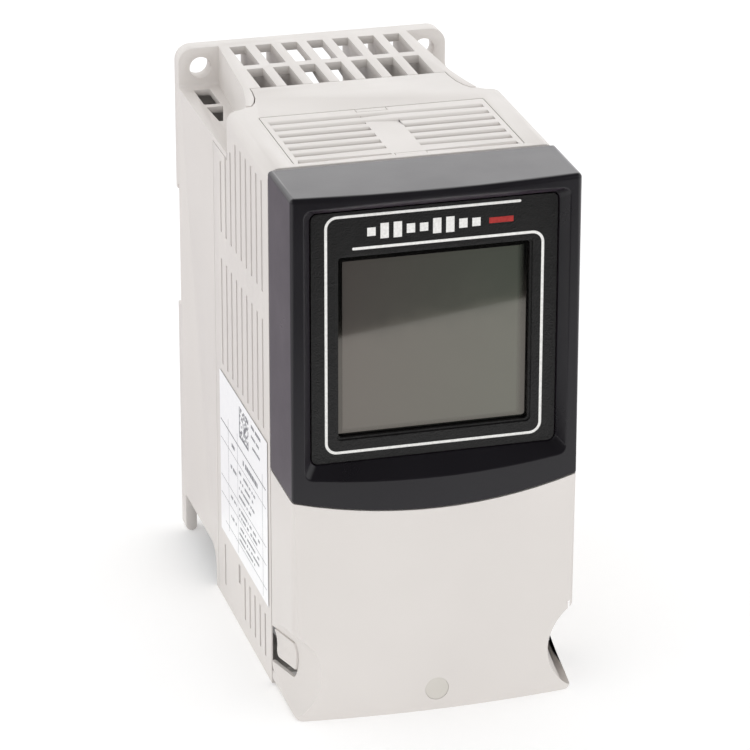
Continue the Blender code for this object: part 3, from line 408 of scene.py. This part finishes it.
canSleeve = coatedSheet("capacitorSleeveShrunk", {
    "colour": "#161a34", "second": "#1b2040", "grainMm": 1.6, "rough": (0.22, 0.34), "heightMm": 0.01,
    "look": {"Coat Weight": 0.3}})
windingTape = coatedSheet("windingTapeOnFerrite", {
    "colour": "#5b4a25", "second": "#463a20", "grainMm": 1.2, "stretch": (1.0, 0.2, 1.0),
    "rough": (0.35, 0.55), "heightMm": 0.04})
ribbonPvc = coatedSheet("ribbonPvcExtruded", {
    "colour": "#a6a7a8", "second": "#8b8c8e", "grainMm": 0.6, "stretch": (1.0, 0.02, 0.02),
    "rough": (0.4, 0.55), "heightMm": 0.06})        # one ridge for each conductor
leadPvc = coatedSheet("leadPvcExtruded", {
    "colour": "#8e1713", "second": "#7a120f", "grainMm": 0.8, "rough": (0.32, 0.45), "heightMm": 0.01})
labelFilm = coatedSheet("labelPolyesterPrinted", {
    "colour": "#fafafb", "second": "#f5f5f7", "grainMm": 0.9, "rough": (0.3, 0.4), "heightMm": 0.003})
labelInk = coatedSheet("labelThermalInk", {
    "colour": "#6d6e73", "second": "#8a8b90", "grainMm": 0.3, "rough": (0.4, 0.6), "heightMm": 0.002})
whiteInk = coatedSheet("screenInkWhite", {
    "colour": "#f2f1ee", "second": "#dddcd9", "grainMm": 0.35, "rough": (0.5, 0.65), "heightMm": 0.006})
redInk = coatedSheet("screenInkRed", {
    "colour": "#b3241f", "second": "#9b1d19", "grainMm": 0.35, "rough": (0.5, 0.65), "heightMm": 0.006})
screenCell = displayCell("displayCellPolarised", {
    "colour": "#4c4845", "second": "#4c5048", "edge": "#0b0b0b",
    # the edge colour serves both the black border and the painted shadow at the right and bottom
    "xMm": (-25.0, 25.4), "zMm": (82.0, 131.8), "shadowFadeMm": 2.0,
    "look": {"IOR": 1.75, "Specular Tint": toLinear("#fff2df"), "Coat Weight": 1.0, "Coat Roughness": 0.03,
             "Coat IOR": 1.5}})
print("materials made")

slotFinish = {
    "housing_plastic": housingAbs, "bezel_plastic": bezelAbs, "panel_plastic": panelFilm,
    "screen": screenCell, "label_film": labelFilm, "black_plastic": glassFilled,
    "terminal_plastic": terminalNylon, "light_plastic": paleNylon, "board": boardLaminate,
    "heat_sink_aluminium": sinkAluminium, "zinc_steel": zincSteel, "brass": turnedBrass,
    "can_sleeve": canSleeve, "winding": windingTape, "ribbon": ribbonPvc, "lead": leadPvc,
    "spring_steel": springSteel}
plainEase = 0.15                                  # edge width of the small parts, in millimetres
softened = {"rear_housing": 0.45, "front_housing": 0.4, "wiring_guard": 0.4, "heat_sink": 0.2,
            "din_latch": 0.35, "fan_frame": 0.3, "fan_guard": 0.25, "power_transformer": 0.5,
            "charge_relay": 0.5, "cover_plug": 0.3, "network_port": 0.25, "power_terminal_block": 0.3,
            "bus_capacitor_1": 0.6, "bus_capacitor_2": 0.6, "control_terminal_block": 0.2}
leftSharp = ("display_ribbon", "board_ribbon", "fan_lead")
for row in frame["record"]["subparts"]:
    node = frame["nodes"][row["node"]]
    paint(node, slotFinish[row["material_slot"]])
    if row["node"] not in leftSharp:
        easeNode(node, softened.get(row["node"], plainEase))
    else:
        node.data.shade_smooth()


# bowed front shared by bezel and cover, and the arched line between them

bow = {"cornerDepth": 136.0, "rise": 2.6, "sides": 256, "archMiddle": 60.85, "archRise": 0.00288,
       "archSides": 192, "gap": 0.3}
frontDepth = bow["cornerDepth"] + bow["rise"]
bowRadius = (half ** 2 + bow["rise"] ** 2) / (2 * bow["rise"])
archRadius = 1 / (2 * bow["archRise"])


def bowDrum(inset):
    centre = frontDepth - bowRadius
    return addRod("bow_drum", (0, centre, -20), (0, centre, 170), bowRadius - inset, bow["sides"],
                  math.pi / bow["sides"])


def archDrum(grow):
    centre = bow["archMiddle"] + archRadius
    return addRod("arch_drum", (0, 90, centre), (0, 160, centre), archRadius + grow, bow["archSides"])


def onFront(point):
    x, depth, _ = point
    return depth > bow["cornerDepth"] + bow["rise"] * (1 - (x / half) ** 2) - 0.15


def onSide(point):
    return abs(point[0]) > half - 0.05


bezel = {"start": 111.5, "top": 152.0, "round": 1.4, "wall": 2.2, "panelHalf": 34.0, "panelZ": (75.0, 146.4),
         "mouthHalf": 36.6, "mouthZ": (72.0, 148.4), "mouthDepth": 136.8, "panelFront": 133.5,
         "panelBack": 131.9, "shelf": 2.3, "reach": 6.0, "windowHalf": 28.4, "windowZ": (80.1, 135.4)}


def makeBezel():
    b = bezel
    body = addBlock("display_bezel_frame", (-half, half), (b["start"], 146), (45, b["top"]))
    shapeWith(body, bowDrum(0), "INTERSECT")
    shapeWith(body, archDrum(-bow["gap"] / 2), "INTERSECT")

    def outerEdge(p, q):
        tops = [point[2] > b["top"] - 0.05 for point in (p, q)]
        fronts, sides = [onFront(p), onFront(q)], [onSide(p), onSide(q)]
        return all(fronts + sides) or all(fronts + tops) or all(sides + tops)

    roundEdges(body, outerEdge, b["round"], 6)
    gap, reach = bow["gap"], b["reach"]           # the recess tool runs on past the bowed front
    grow = reach / (b["mouthDepth"] - b["panelFront"])
    recess = addBlock("recess_tool", (-b["panelHalf"] - gap, b["panelHalf"] + gap),
                      (b["panelBack"] - gap, b["panelFront"]), (b["panelZ"][0] - gap, b["panelZ"][1] + gap))
    editPick(recess, "FACE", lambda *ps: all(p[1] > b["panelFront"] - 0.01 for p in ps))
    bpy.ops.mesh.extrude_region_move(TRANSFORM_OT_translate={"value": (0, -reach * mm, 0)})
    editDone()
    for side in (-1, 1):
        shiftPoints(recess, lambda p: p[1] > b["panelFront"] + 1 and p[0] * side > 0,
                    x=side * grow * (b["mouthHalf"] - b["panelHalf"]))
    shiftPoints(recess, lambda p: p[1] > b["panelFront"] + 1 and p[2] < 110,
                z=grow * (b["mouthZ"][0] - b["panelZ"][0]))
    shiftPoints(recess, lambda p: p[1] > b["panelFront"] + 1 and p[2] > 110,
                z=grow * (b["mouthZ"][1] - b["panelZ"][1]))
    roundEdges(recess, lambda p, q: abs(p[1] - q[1]) > 1, 2.0, 5)
    shapeWith(body, recess, "DIFFERENCE")
    hollow = addBlock("hollow_tool", (-half + b["wall"], half - b["wall"]),
                      (b["start"] - 5, b["panelBack"] - b["shelf"]), (45, b["top"] - b["wall"]))
    shapeWith(hollow, archDrum(-bow["gap"] / 2 - 2.25), "INTERSECT")
    shapeWith(body, hollow, "DIFFERENCE")
    window = addBlock("window_tool", (-b["windowHalf"], b["windowHalf"]), (b["start"] + 5, 146), b["windowZ"])
    shapeWith(body, window, "DIFFERENCE")
    finishShape(body, 0.35, 3)
    place(body, "case", "bezel_plastic", bezelAbs, "display_bezel")


makeBezel()
print("bezel made")


panel = {"half": 34.0, "z": (75.0, 146.4), "depth": (131.9, 133.5), "corner": 1.8, "windowHalf": 26.4,
         "windowZ": (82.0, 133.4), "step": 0.7, "stepDeep": 0.45}


def makePanel():
    p = panel
    body = addBlock("display_panel_plate", (-p["half"], p["half"]), p["depth"], p["z"])
    roundEdges(body, lambda a, b: abs(a[1] - b[1]) > 1, p["corner"], 4)
    # the printed plate is let in a little round its window
    ledge = addBlock("ledge_tool", (-p["windowHalf"] - p["step"], p["windowHalf"] + p["step"]),
                     (p["depth"][1] - p["stepDeep"], p["depth"][1] + 3),
                     (p["windowZ"][0] - p["step"], p["windowZ"][1] + p["step"]))
    roundEdges(ledge, lambda a, b: abs(a[1] - b[1]) > 1, 1.2, 3)
    shapeWith(body, ledge, "DIFFERENCE")
    window = addBlock("window_tool", (-p["windowHalf"], p["windowHalf"]), (120, 140), p["windowZ"])
    roundEdges(window, lambda a, b: abs(a[1] - b[1]) > 1, 0.8, 3)
    shapeWith(body, window, "DIFFERENCE")
    finishShape(body, 0.15, 2)
    place(body, "case", "panel_plastic", panelFilm, "display_panel")


makePanel()


line = {"half": 29.9, "top": 145.0, "low": 77.8, "corner": 3.0, "width": 0.76, "start": 23.7, "end": -22.7,
        "rightTop": 135.8, "thick": 0.03, "depth": 133.5}


def arcPoints(x, z, radius, first, last, steps=7):
    turns = [math.radians(first + (last - first) * k / steps) for k in range(steps + 1)]
    return [(x + radius * math.cos(turn), z + radius * math.sin(turn)) for turn in turns]


def makeLine():
    # one printed stroke with round ends
    s = line
    r, w = s["corner"], s["half"]
    path = [(s["start"], s["top"])]
    path += arcPoints(-w + r, s["top"] - r, r, 90, 180)
    path += arcPoints(-w + r, s["low"] + r, r, 180, 270)
    path += arcPoints(w - r, s["low"] + r, r, 270, 360)
    path += arcPoints(w - r, s["rightTop"] - r, r, 0, 90)
    path += [(s["end"], s["rightTop"])]

    def roundEnd(tip, inner):
        # extra points that taper the stroke to a half circle
        reach = s["width"] / 2
        along = (Vector(inner) - Vector(tip)).normalized()
        turns = [k * math.pi / 12 for k in range(1, 7)]
        return [(*(Vector(tip) + along * reach * (1 - math.cos(turn))), math.sin(turn)) for turn in turns]

    full = roundEnd(path[0], path[1]) + [(x, z, 1.0) for x, z in path[1:-1]]
    full += roundEnd(path[-1], path[-2])[::-1]
    bpy.ops.object.select_all(action="DESELECT")
    curve = bpy.data.curves.new("panel_line", "CURVE")
    curve.dimensions = "3D"
    curve.bevel_depth = s["width"] / 2 * mm
    curve.bevel_resolution = 2
    curve.use_fill_caps = True
    stroke = curve.splines.new("POLY")
    stroke.points.add(len(full) - 1)
    for point, (x, z, size) in zip(stroke.points, full):
        point.co = (x * mm, 0, z * mm, 1)
        point.radius = size
    item = bpy.data.objects.new("panel_line", curve)
    bpy.context.collection.objects.link(item)
    pickOnly(item)
    bpy.ops.object.convert(target="MESH")
    item.scale = (1, s["thick"] / (s["width"] / 2), 1)
    item.location = (0, wallY - s["depth"] * mm, 0)
    settle(item, "panel_line_print")
    finishShape(item, 0)
    place(item, "case", "panel_plastic", whiteInk)


makeLine()


def inkPatches(name, spots, normal, level, thick, slot, material):
    # thin printed shapes on a face; spots are (a0, a1, b0, b1), a across and b up
    pieces = []
    for a0, a1, b0, b1 in spots:
        if normal == "front":
            pieces.append(addBlock(name, (a0, a1), (level - 0.05, level + thick), (b0, b1)))
        else:
            pieces.append(addBlock(name, (level - thick, level + 0.05), (a0, a1), (b0, b1)))
    bpy.ops.object.select_all(action="DESELECT")
    for piece in pieces:
        piece.select_set(True)
    bpy.context.view_layer.objects.active = pieces[0]
    bpy.ops.object.join()
    item = bpy.context.active_object
    item.name = name
    item.data.name = name
    place(item, "case", slot, material)
    return item


sign = {"first": -18.6, "pitch": 3.6, "wide": 2.3, "count": 9, "z": 140.2, "low": 1.2, "rise": 3.4,
        "red": (14.9, 21.6, 139.4, 141.0), "thick": 0.03}


def makePictogram():
    # a generic output sign: stepped bars that rise and a short red bar after them
    s = sign
    bars = []
    for step in range(s["count"]):
        x = s["first"] + step * s["pitch"]
        tall = s["low"] + s["rise"] * abs(math.sin(step * math.pi / 4 + 0.35))
        bars.append((x, x + s["wide"], s["z"] - tall / 2, s["z"] + tall / 2))
    for name, patches, ink in (("panel_sign_white", bars, whiteInk), ("panel_sign_red", [s["red"]], redInk)):
        inkPatches(name, patches, "front", line["depth"], s["thick"], "panel_plastic", ink)


makePictogram()
print("panel made")


screen = {"half": 28.0, "z": (80.5, 135.0), "depth": (130.4, 131.6)}


def makeScreen():
    body = addBlock("screen_cell", (-screen["half"], screen["half"]), screen["depth"], screen["z"])
    roundEdges(body, lambda a, b: abs(a[1] - b[1]) > 1, 0.6, 3)
    finishShape(body, 0.12, 2)
    place(body, "case", "screen", screenCell, "screen_glass")


makeScreen()
print("screen made")


# front cover with its finger scoops and press tabs

cover = {"start": 112.1, "round": 2.6, "skin": 2.0, "ceiling": 58.45, "scoopRadius": 15.0, "scoopZ": 13.3,
         "scoopRear": 55.25, "scoopAhead": 46.95, "scoopSides": 100, "backing": 1.7, "slotZ": (7.6, 18.3),
         "slotEnd": 124.68, "slotRound": 1.1, "lip": 1.0, "relief": ((110.0, 127.0), (4.6, 20.5)),
         "plugZ": 6.3, "plugRadius": 3.3, "plugGap": 0.03, "plugDeep": 2.4, "plugSunk": 0.12}


def coverBlank(name):
    c = cover
    body = addBlock(name, (-half, half), (c["start"], 146), (0, 78))
    shapeWith(body, bowDrum(0), "INTERSECT")
    shapeWith(body, archDrum(bow["gap"] / 2), "DIFFERENCE")
    roundEdges(body, lambda p, q: onSide(p) and onSide(q) and ((onFront(p) and onFront(q)) or
                                                              (p[2] < 0.05 and q[2] < 0.05)), c["round"], 6)
    return body


def scoopTool(side, grow):
    # a leaning drum, longer than the cover is deep
    c = cover
    lean = (c["scoopAhead"] - c["scoopRear"]) / 30
    return addRod("scoop_tool", (side * (c["scoopRear"] - 10 * lean), 100, c["scoopZ"]),
                  (side * (c["scoopAhead"] + 15 * lean), 155, c["scoopZ"]), c["scoopRadius"] + grow,
                  c["scoopSides"], math.pi / c["scoopSides"])


def makeCover():
    c = cover
    body = coverBlank("front_cover_shell")
    inner = addBlock("inner_tool", (-half + c["skin"], half - c["skin"]), (c["start"] - 5, 146),
                     (-5, c["ceiling"]))
    shapeWith(inner, bowDrum(c["skin"]), "INTERSECT")
    shapeWith(body, inner, "DIFFERENCE")
    for side in (-1, 1):
        backing = coverBlank("backing")
        shapeWith(backing, scoopTool(side, c["backing"]), "INTERSECT")
        shapeWith(body, backing, "UNION")
        shapeWith(body, scoopTool(side, 0), "DIFFERENCE")

    def lowerEnd(p, q):
        return min(p[1], q[1]) > c["slotEnd"] - 0.1 and max(p[2], q[2]) < c["slotZ"][0] + 0.1

    for side in (-1, 1):
        reach = sorted((side * 30, side * (half + 2)))
        slot = addBlock("slot_tool", reach, (c["start"] - 2, c["slotEnd"]), c["slotZ"])
        roundEdges(slot, lowerEnd, c["slotRound"], 4)
        # the wall is thinned from inside round the slot, so that only a thin lip shows
        relief = addBlock("relief_tool", reach, *c["relief"])
        shapeWith(relief, scoopTool(side, c["lip"]), "DIFFERENCE")
        shapeWith(slot, relief, "UNION")
        shapeWith(body, slot, "DIFFERENCE")
    shapeWith(body, addRod("plug_tool", (0, frontDepth - 6, c["plugZ"]), (0, frontDepth + 5, c["plugZ"]),
                           c["plugRadius"] + c["plugGap"], 64), "DIFFERENCE")
    finishShape(body, 0.3, 3, 20.0)
    place(body, "front_cover", "housing_plastic", housingAbs, "front_cover")
    plug = addRod("cover_plug_disc", (0, frontDepth - c["plugDeep"], c["plugZ"]),
                  (0, frontDepth - c["plugSunk"], c["plugZ"]), c["plugRadius"], 64)
    finishShape(plug, 0.1, 2)
    place(plug, "front_cover", "housing_plastic", plugAbs, "cover_plug")


makeCover()
print("front cover made")


# louvred vent cover

vent = {"half": 32.0, "depth": (69.9, 109.0), "z": (150.2, 151.9), "first": 75.2, "pitch": 5.38, "slots": 6,
        "span": (4.75, 30.5), "slotHalf": 0.8, "grooveHalf": 0.5, "grooveFloor": 151.1, "soft": 0.9,
        "catchLine": 0.22, "catches": (((-5.0, 4.0), (69.0, 72.2)), ((-4.0, 5.0), (107.3, 110.0))),
        "catchFloor": 151.3, "hookDepths": ((73.4, 75.2), (104.4, 106.0)), "hookX": 12, "hookHalf": 4,
        "hookZ": (146.6, 150.9)}


def outlineCuts(xs, depths, width):
    # four narrow cuts along a rectangle's sides
    (x0, x1), (d0, d1) = xs, depths
    return (((x0, x0 + width), depths), ((x1 - width, x1), depths),
            (xs, (d0, d0 + width)), (xs, (d1 - width, d1)))


def makeVent():
    v = vent
    body = addBlock("top_vent_louvres", (-v["half"], v["half"]), v["depth"], v["z"])
    roundEdges(body, lambda p, q: abs(p[2] - q[2]) > 1, 0.6, 3)
    reaches = [sorted((side * v["span"][0], side * v["span"][1])) for side in (-1, 1)]
    for number in range(v["slots"]):
        depth = v["first"] + number * v["pitch"]
        for reach in reaches:
            gapDepths = (depth - v["slotHalf"], depth + v["slotHalf"])
            shapeWith(body, addBlock("louvre_tool", reach, gapDepths, (145, 155)), "DIFFERENCE")
    last = v["first"] + v["slots"] * v["pitch"]
    grooveDepths = (last - v["grooveHalf"], last + v["grooveHalf"])
    for reach in reaches:
        shapeWith(body, addBlock("groove_tool", reach, grooveDepths, (v["grooveFloor"], 155)), "DIFFERENCE")
    inside = v["span"][1] + 0.1

    def louvreEdge(p, q):
        onTop = min(p[2], q[2]) > v["z"][1] - 0.05
        return onTop and abs(p[0] - q[0]) > 5 and max(abs(p[0]), abs(q[0])) < inside

    roundEdges(body, louvreEdge, v["soft"], 5)
    for spans in v["catches"]:
        for xs, depths in outlineCuts(*spans, v["catchLine"]):
            shapeWith(body, addBlock("catch_tool", xs, depths, (v["catchFloor"], 155)), "DIFFERENCE")
    for side in (-1, 1):
        hookSpan = (side * v["hookX"] - v["hookHalf"], side * v["hookX"] + v["hookHalf"])
        for depths in v["hookDepths"]:
            shapeWith(body, addBlock("hook", hookSpan, depths, v["hookZ"]), "UNION")
    finishShape(body, 0.15, 2)
    place(body, "vent_cover", "housing_plastic", housingAbs, "top_vent_cover")


makeVent()
print("vent cover made")


# rating label on the left wall, with generic print

label = {"face": -40.35, "back": -40.2, "depth": (53.5, 109.0), "z": (22.5, 72.0),
         "cut": ((53.5, 32.6), (61.8, 22.5)), "seed": 41, "ink": 0.02, "hair": 0.08, "filled": 0.78,
         "tableDepth": (54.5, 107.5), "head": (57.1, 57.4), "uprights": (63.5, 74.4, 103.6),
         "rules": (57.3, 51.6, 40.0, 34.5, 27.0),
         "code": (77.0, 88.0), "codeZ": (60.6, 70.6), "codeCell": 0.72,
         "rows": [(80.8, 98.0, 54.3, 1.5, 1.3), (66.0, 73.0, 54.2, 1.1, 0.9), (66.0, 73.0, 47.2, 1.0, 0.9),
                  (66.0, 73.0, 37.7, 0.9, 0.8), (66.0, 72.5, 31.4, 0.9, 0.8), (76.0, 95.0, 49.5, 0.8, 0.7),
                  (76.0, 93.0, 47.0, 0.8, 0.7), (76.0, 94.0, 44.5, 0.8, 0.7), (76.0, 90.0, 42.0, 0.8, 0.7),
                  (76.0, 101.0, 38.0, 0.8, 0.7), (76.0, 97.0, 36.0, 0.8, 0.7), (76.0, 101.0, 32.5, 0.7, 0.7),
                  (76.0, 99.0, 30.5, 0.7, 0.7), (76.0, 94.0, 28.5, 0.7, 0.7), (91.0, 102.0, 69.6, 1.0, 0.9),
                  (91.0, 100.0, 66.6, 0.8, 0.8), (91.0, 101.0, 63.6, 0.8, 0.8)]}


def makeLabel():
    s = label
    body = addBlock("rating_label_film", (s["face"], s["back"]), s["depth"], s["z"])
    (d0, z0), (d1, z1) = s["cut"]
    first, second = at(0, d0, z0), at(0, d1, z1)
    along = second - first
    editPick(body, "FACE", lambda *ps: True)
    bpy.ops.mesh.bisect(plane_co=first, plane_no=(0, -along.z, along.y), use_fill=True, clear_inner=False,
                        clear_outer=True)
    editDone()
    finishShape(body, 0.03, 1)
    place(body, "case", "label_film", labelFilm, "rating_label")
    chance = random.Random(s["seed"])
    hair = s["hair"]
    rear, ahead = s["tableDepth"]
    rules = [(d - hair, d + hair, 25.5 if d < 70 else 23.5, 60.5) for d in s["uprights"]]
    for z in s["rules"]:
        # the lowest rules start later, clear of the cut corner
        start = max(rear, 62.0 - (z - 23) * 0.7) if z < 34 else rear
        rules.append((start, ahead, z - hair, z + hair))
    rules.append((rear, ahead, *s["head"]))
    dashes = []
    for d0, d1, z, tall, cell in s["rows"]:
        d = d0
        while d < d1:
            wide = cell * chance.uniform(0.5, 1.6)
            if chance.random() < s["filled"]:
                dashes.append((d, min(d + wide, d1), z - tall / 2, z + tall / 2))
            d += wide + cell * 0.3
    # a block of small squares, filled by chance
    (d0, d1), (z0, z1), cell = s["code"], s["codeZ"], s["codeCell"]
    across, up = int((d1 - d0) / cell), int((z1 - z0) / cell)
    for column in range(across):
        for row in range(up):
            if column == 0 or row == 0 or chance.random() < 0.5:
                d, z = d0 + column * cell, z0 + row * cell
                dashes.append((d, d + cell, z, z + cell))
    for name, patches in (("label_rules", rules), ("label_dashes", dashes)):
        inkPatches(name, patches, "left", s["face"], s["ink"], "label_film", labelInk)


makeLabel()


# coil spring of the rail latch

coil = {"turns": 7, "radius": 0.95, "wire": 0.22, "z": (50.52, 61.48), "depth": 2.65, "around": 20,
        "anchorZ": 50.3, "travel": 5.0, "tall": 11.4}


def makeSpring():
    c = coil
    curve = bpy.data.curves.new("latch_coil", "CURVE")
    curve.dimensions = "3D"
    curve.bevel_depth = c["wire"] * mm
    curve.bevel_resolution = 3
    curve.use_fill_caps = True
    wire = curve.splines.new("POLY")
    count = c["turns"] * c["around"] + 1
    wire.points.add(count - 1)
    for step in range(count):
        turn = math.tau * step / c["around"]
        z = c["z"][0] + (c["z"][1] - c["z"][0]) * step / (count - 1)
        spot = at(c["radius"] * math.cos(turn), c["depth"] + c["radius"] * math.sin(turn), z)
        wire.points[step].co = (*spot, 1)
    item = bpy.data.objects.new("latch_coil", curve)
    bpy.context.collection.objects.link(item)
    pickOnly(item)
    bpy.ops.object.convert(target="MESH")
    settle(item, "latch_coil")
    finishShape(item, 0)
    place(item, "case", "spring_steel", springSteel, "din_latch_spring")
    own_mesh(item)


makeSpring()
print("label and spring made")


# pale floor, soft tent light and the camera

# lengths round the stage are in metres, the camera's in millimetres
stageLook = {"floor": "#fbfbfb", "glow": 0.14, "size": 8.0, "dark": "#161616", "grey": "#cbc4cb",
             "tableEdge": 0.302, "roomDeep": 2.4, "roomTall": 5.0, "ceilingAhead": 0.9, "ceilingHigh": 2.5,
             "ceilingSize": (5.0, 3.4), "greyMiddle": (-0.545, 0.47), "greySize": (1.0, 0.8),
             "cardLift": 0.0005, "horizon": 1.22, "zenith": 0.85}
softbox = {"position": (0.5, 1.8, 0.95), "aim": (0, 0, 0.1), "size": (3.0, 1.4), "watts": 12.0}
view = {"turn": -15.3908, "lift": 22.4685, "roll": 0.0766, "lens": 202.03, "right": -19.649, "up": -40.903,
        "away": 1283.2}


def addPlane(name, middle, size, lean=0.0, turn=0.0):
    bpy.ops.object.select_all(action="DESELECT")
    bpy.ops.mesh.primitive_plane_add(size=1, location=middle, rotation=(lean, 0, turn))
    plane = bpy.context.active_object
    plane.scale = (*size, 1)
    return settle(plane, name)


def mattCard(name, colour):
    material, tree, shader, spot = startMaterial(name, {"Roughness": 0.9, "Specular IOR Level": 0.0})
    shade = blendColours(tree, spread(tree, grain(tree, spot, 1.5), 0.85, 1.0), "#000000", colour)
    tree.links.new(shade, shader.inputs["Base Color"])
    return material


def makeStage():
    s = stageLook
    floor = addPlane("floor", (0, 0, 0), (s["size"], s["size"]))
    material, tree, shader, spot = startMaterial("floorPaperLit", {
        "Roughness": 0.9, "Specular IOR Level": 0.1, "Emission Color": toLinear("#ffffff"),
        "Emission Strength": s["glow"]})
    colour = blendColours(tree, spread(tree, grain(tree, spot, 1.5), 0.0, 1.0), s["floor"], "#f9f9f9")
    tree.links.new(colour, shader.inputs["Base Color"])
    paint(floor, material)
    # what only reflections see: the dark room past the table's edge and overhead, and a grey card behind and
    # to the left, a painted shade standing for the floor in the drive's shadow
    turn = math.radians(view["turn"])
    ahead = Vector((math.sin(turn), -math.cos(turn), 0))
    far = s["tableEdge"] + s["roomDeep"]
    lying = ahead * (s["tableEdge"] + far) / 2 + Vector((0, 0, s["cardLift"]))
    standing = ahead * far + Vector((0, 0, s["roomTall"] / 2))
    hanging = ahead * s["ceilingAhead"] + Vector((0, 0, s["ceilingHigh"]))
    dark, grey = mattCard("cardBlackMatt", s["dark"]), mattCard("cardGreyMatt", s["grey"])
    cards = (
        (addPlane("dark_floor_card", lying, (s["size"], s["roomDeep"]), 0.0, turn), dark),
        (addPlane("dark_standing_card", standing, (s["size"], s["roomTall"]), math.radians(90), turn), dark),
        (addPlane("dark_ceiling_card", hanging, s["ceilingSize"], 0.0, turn), dark),
        # painted shade: this grey card stands for the floor shaded by the drive, seen only in reflections
        (addPlane("shaded_floor_reflection_card", (*s["greyMiddle"], s["cardLift"]), s["greySize"]), grey))
    for card, material in cards:
        paint(card, material)
        card.visible_camera = False
        card.visible_diffuse = False
        card.visible_shadow = False


def makeSoftbox():
    position = Vector(softbox["position"])
    bpy.ops.object.light_add(type="AREA", location=position)
    light = bpy.context.active_object
    light.name = "back_softbox"
    light.data.shape = "RECTANGLE"
    light.data.size, light.data.size_y = softbox["size"]
    light.data.energy = softbox["watts"]
    light.visible_diffuse = False                 # it only lends a sheen to faces seen at a low angle
    light.rotation_euler = (Vector(softbox["aim"]) - position).to_track_quat("-Z", "Y").to_euler()


def makeWorld():
    # a white tent, a little brighter round its walls than at its top
    world = bpy.data.worlds.new("tent")
    world.use_nodes = True
    bpy.context.scene.world = world
    tree = world.node_tree
    sky = tree.nodes["Background"]
    sky.inputs["Color"].default_value = toLinear("#ffffff")
    direction = addNode(tree, "ShaderNodeTexCoord").outputs["Generated"]
    rise = addNode(tree, "ShaderNodeSeparateXYZ", {}, {"Vector": direction}).outputs["Z"]
    strength = spread(tree, rise, stageLook["horizon"], stageLook["zenith"], 0.2, 1.0)
    tree.links.new(strength, sky.inputs["Strength"])


def makeCamera():
    a, e, c = (math.radians(view[key]) for key in ("turn", "lift", "roll"))
    back = Vector((math.sin(a) * math.cos(e), -math.cos(a) * math.cos(e), math.sin(e)))
    right = Vector((math.cos(a), math.sin(a), 0))
    up = back.cross(right)
    right, up = math.cos(c) * right + math.sin(c) * up, -math.sin(c) * right + math.cos(c) * up
    position = (-view["right"] * right - view["up"] * up + view["away"] * back) * mm + Vector((0, wallY, 0))
    data = bpy.data.cameras.new("camera")
    data.lens = view["lens"]
    data.sensor_width = 36.0
    data.clip_start = 0.05
    camera = bpy.data.objects.new("camera", data)
    bpy.context.collection.objects.link(camera)
    camera.matrix_world = Matrix.Translation(position) @ Matrix((right, up, back)).transposed().to_4x4()
    bpy.context.scene.camera = camera


makeStage()
makeWorld()
makeSoftbox()
makeCamera()
bpy.context.scene.view_settings.view_transform = "Standard"
print("stage, lights and camera made")
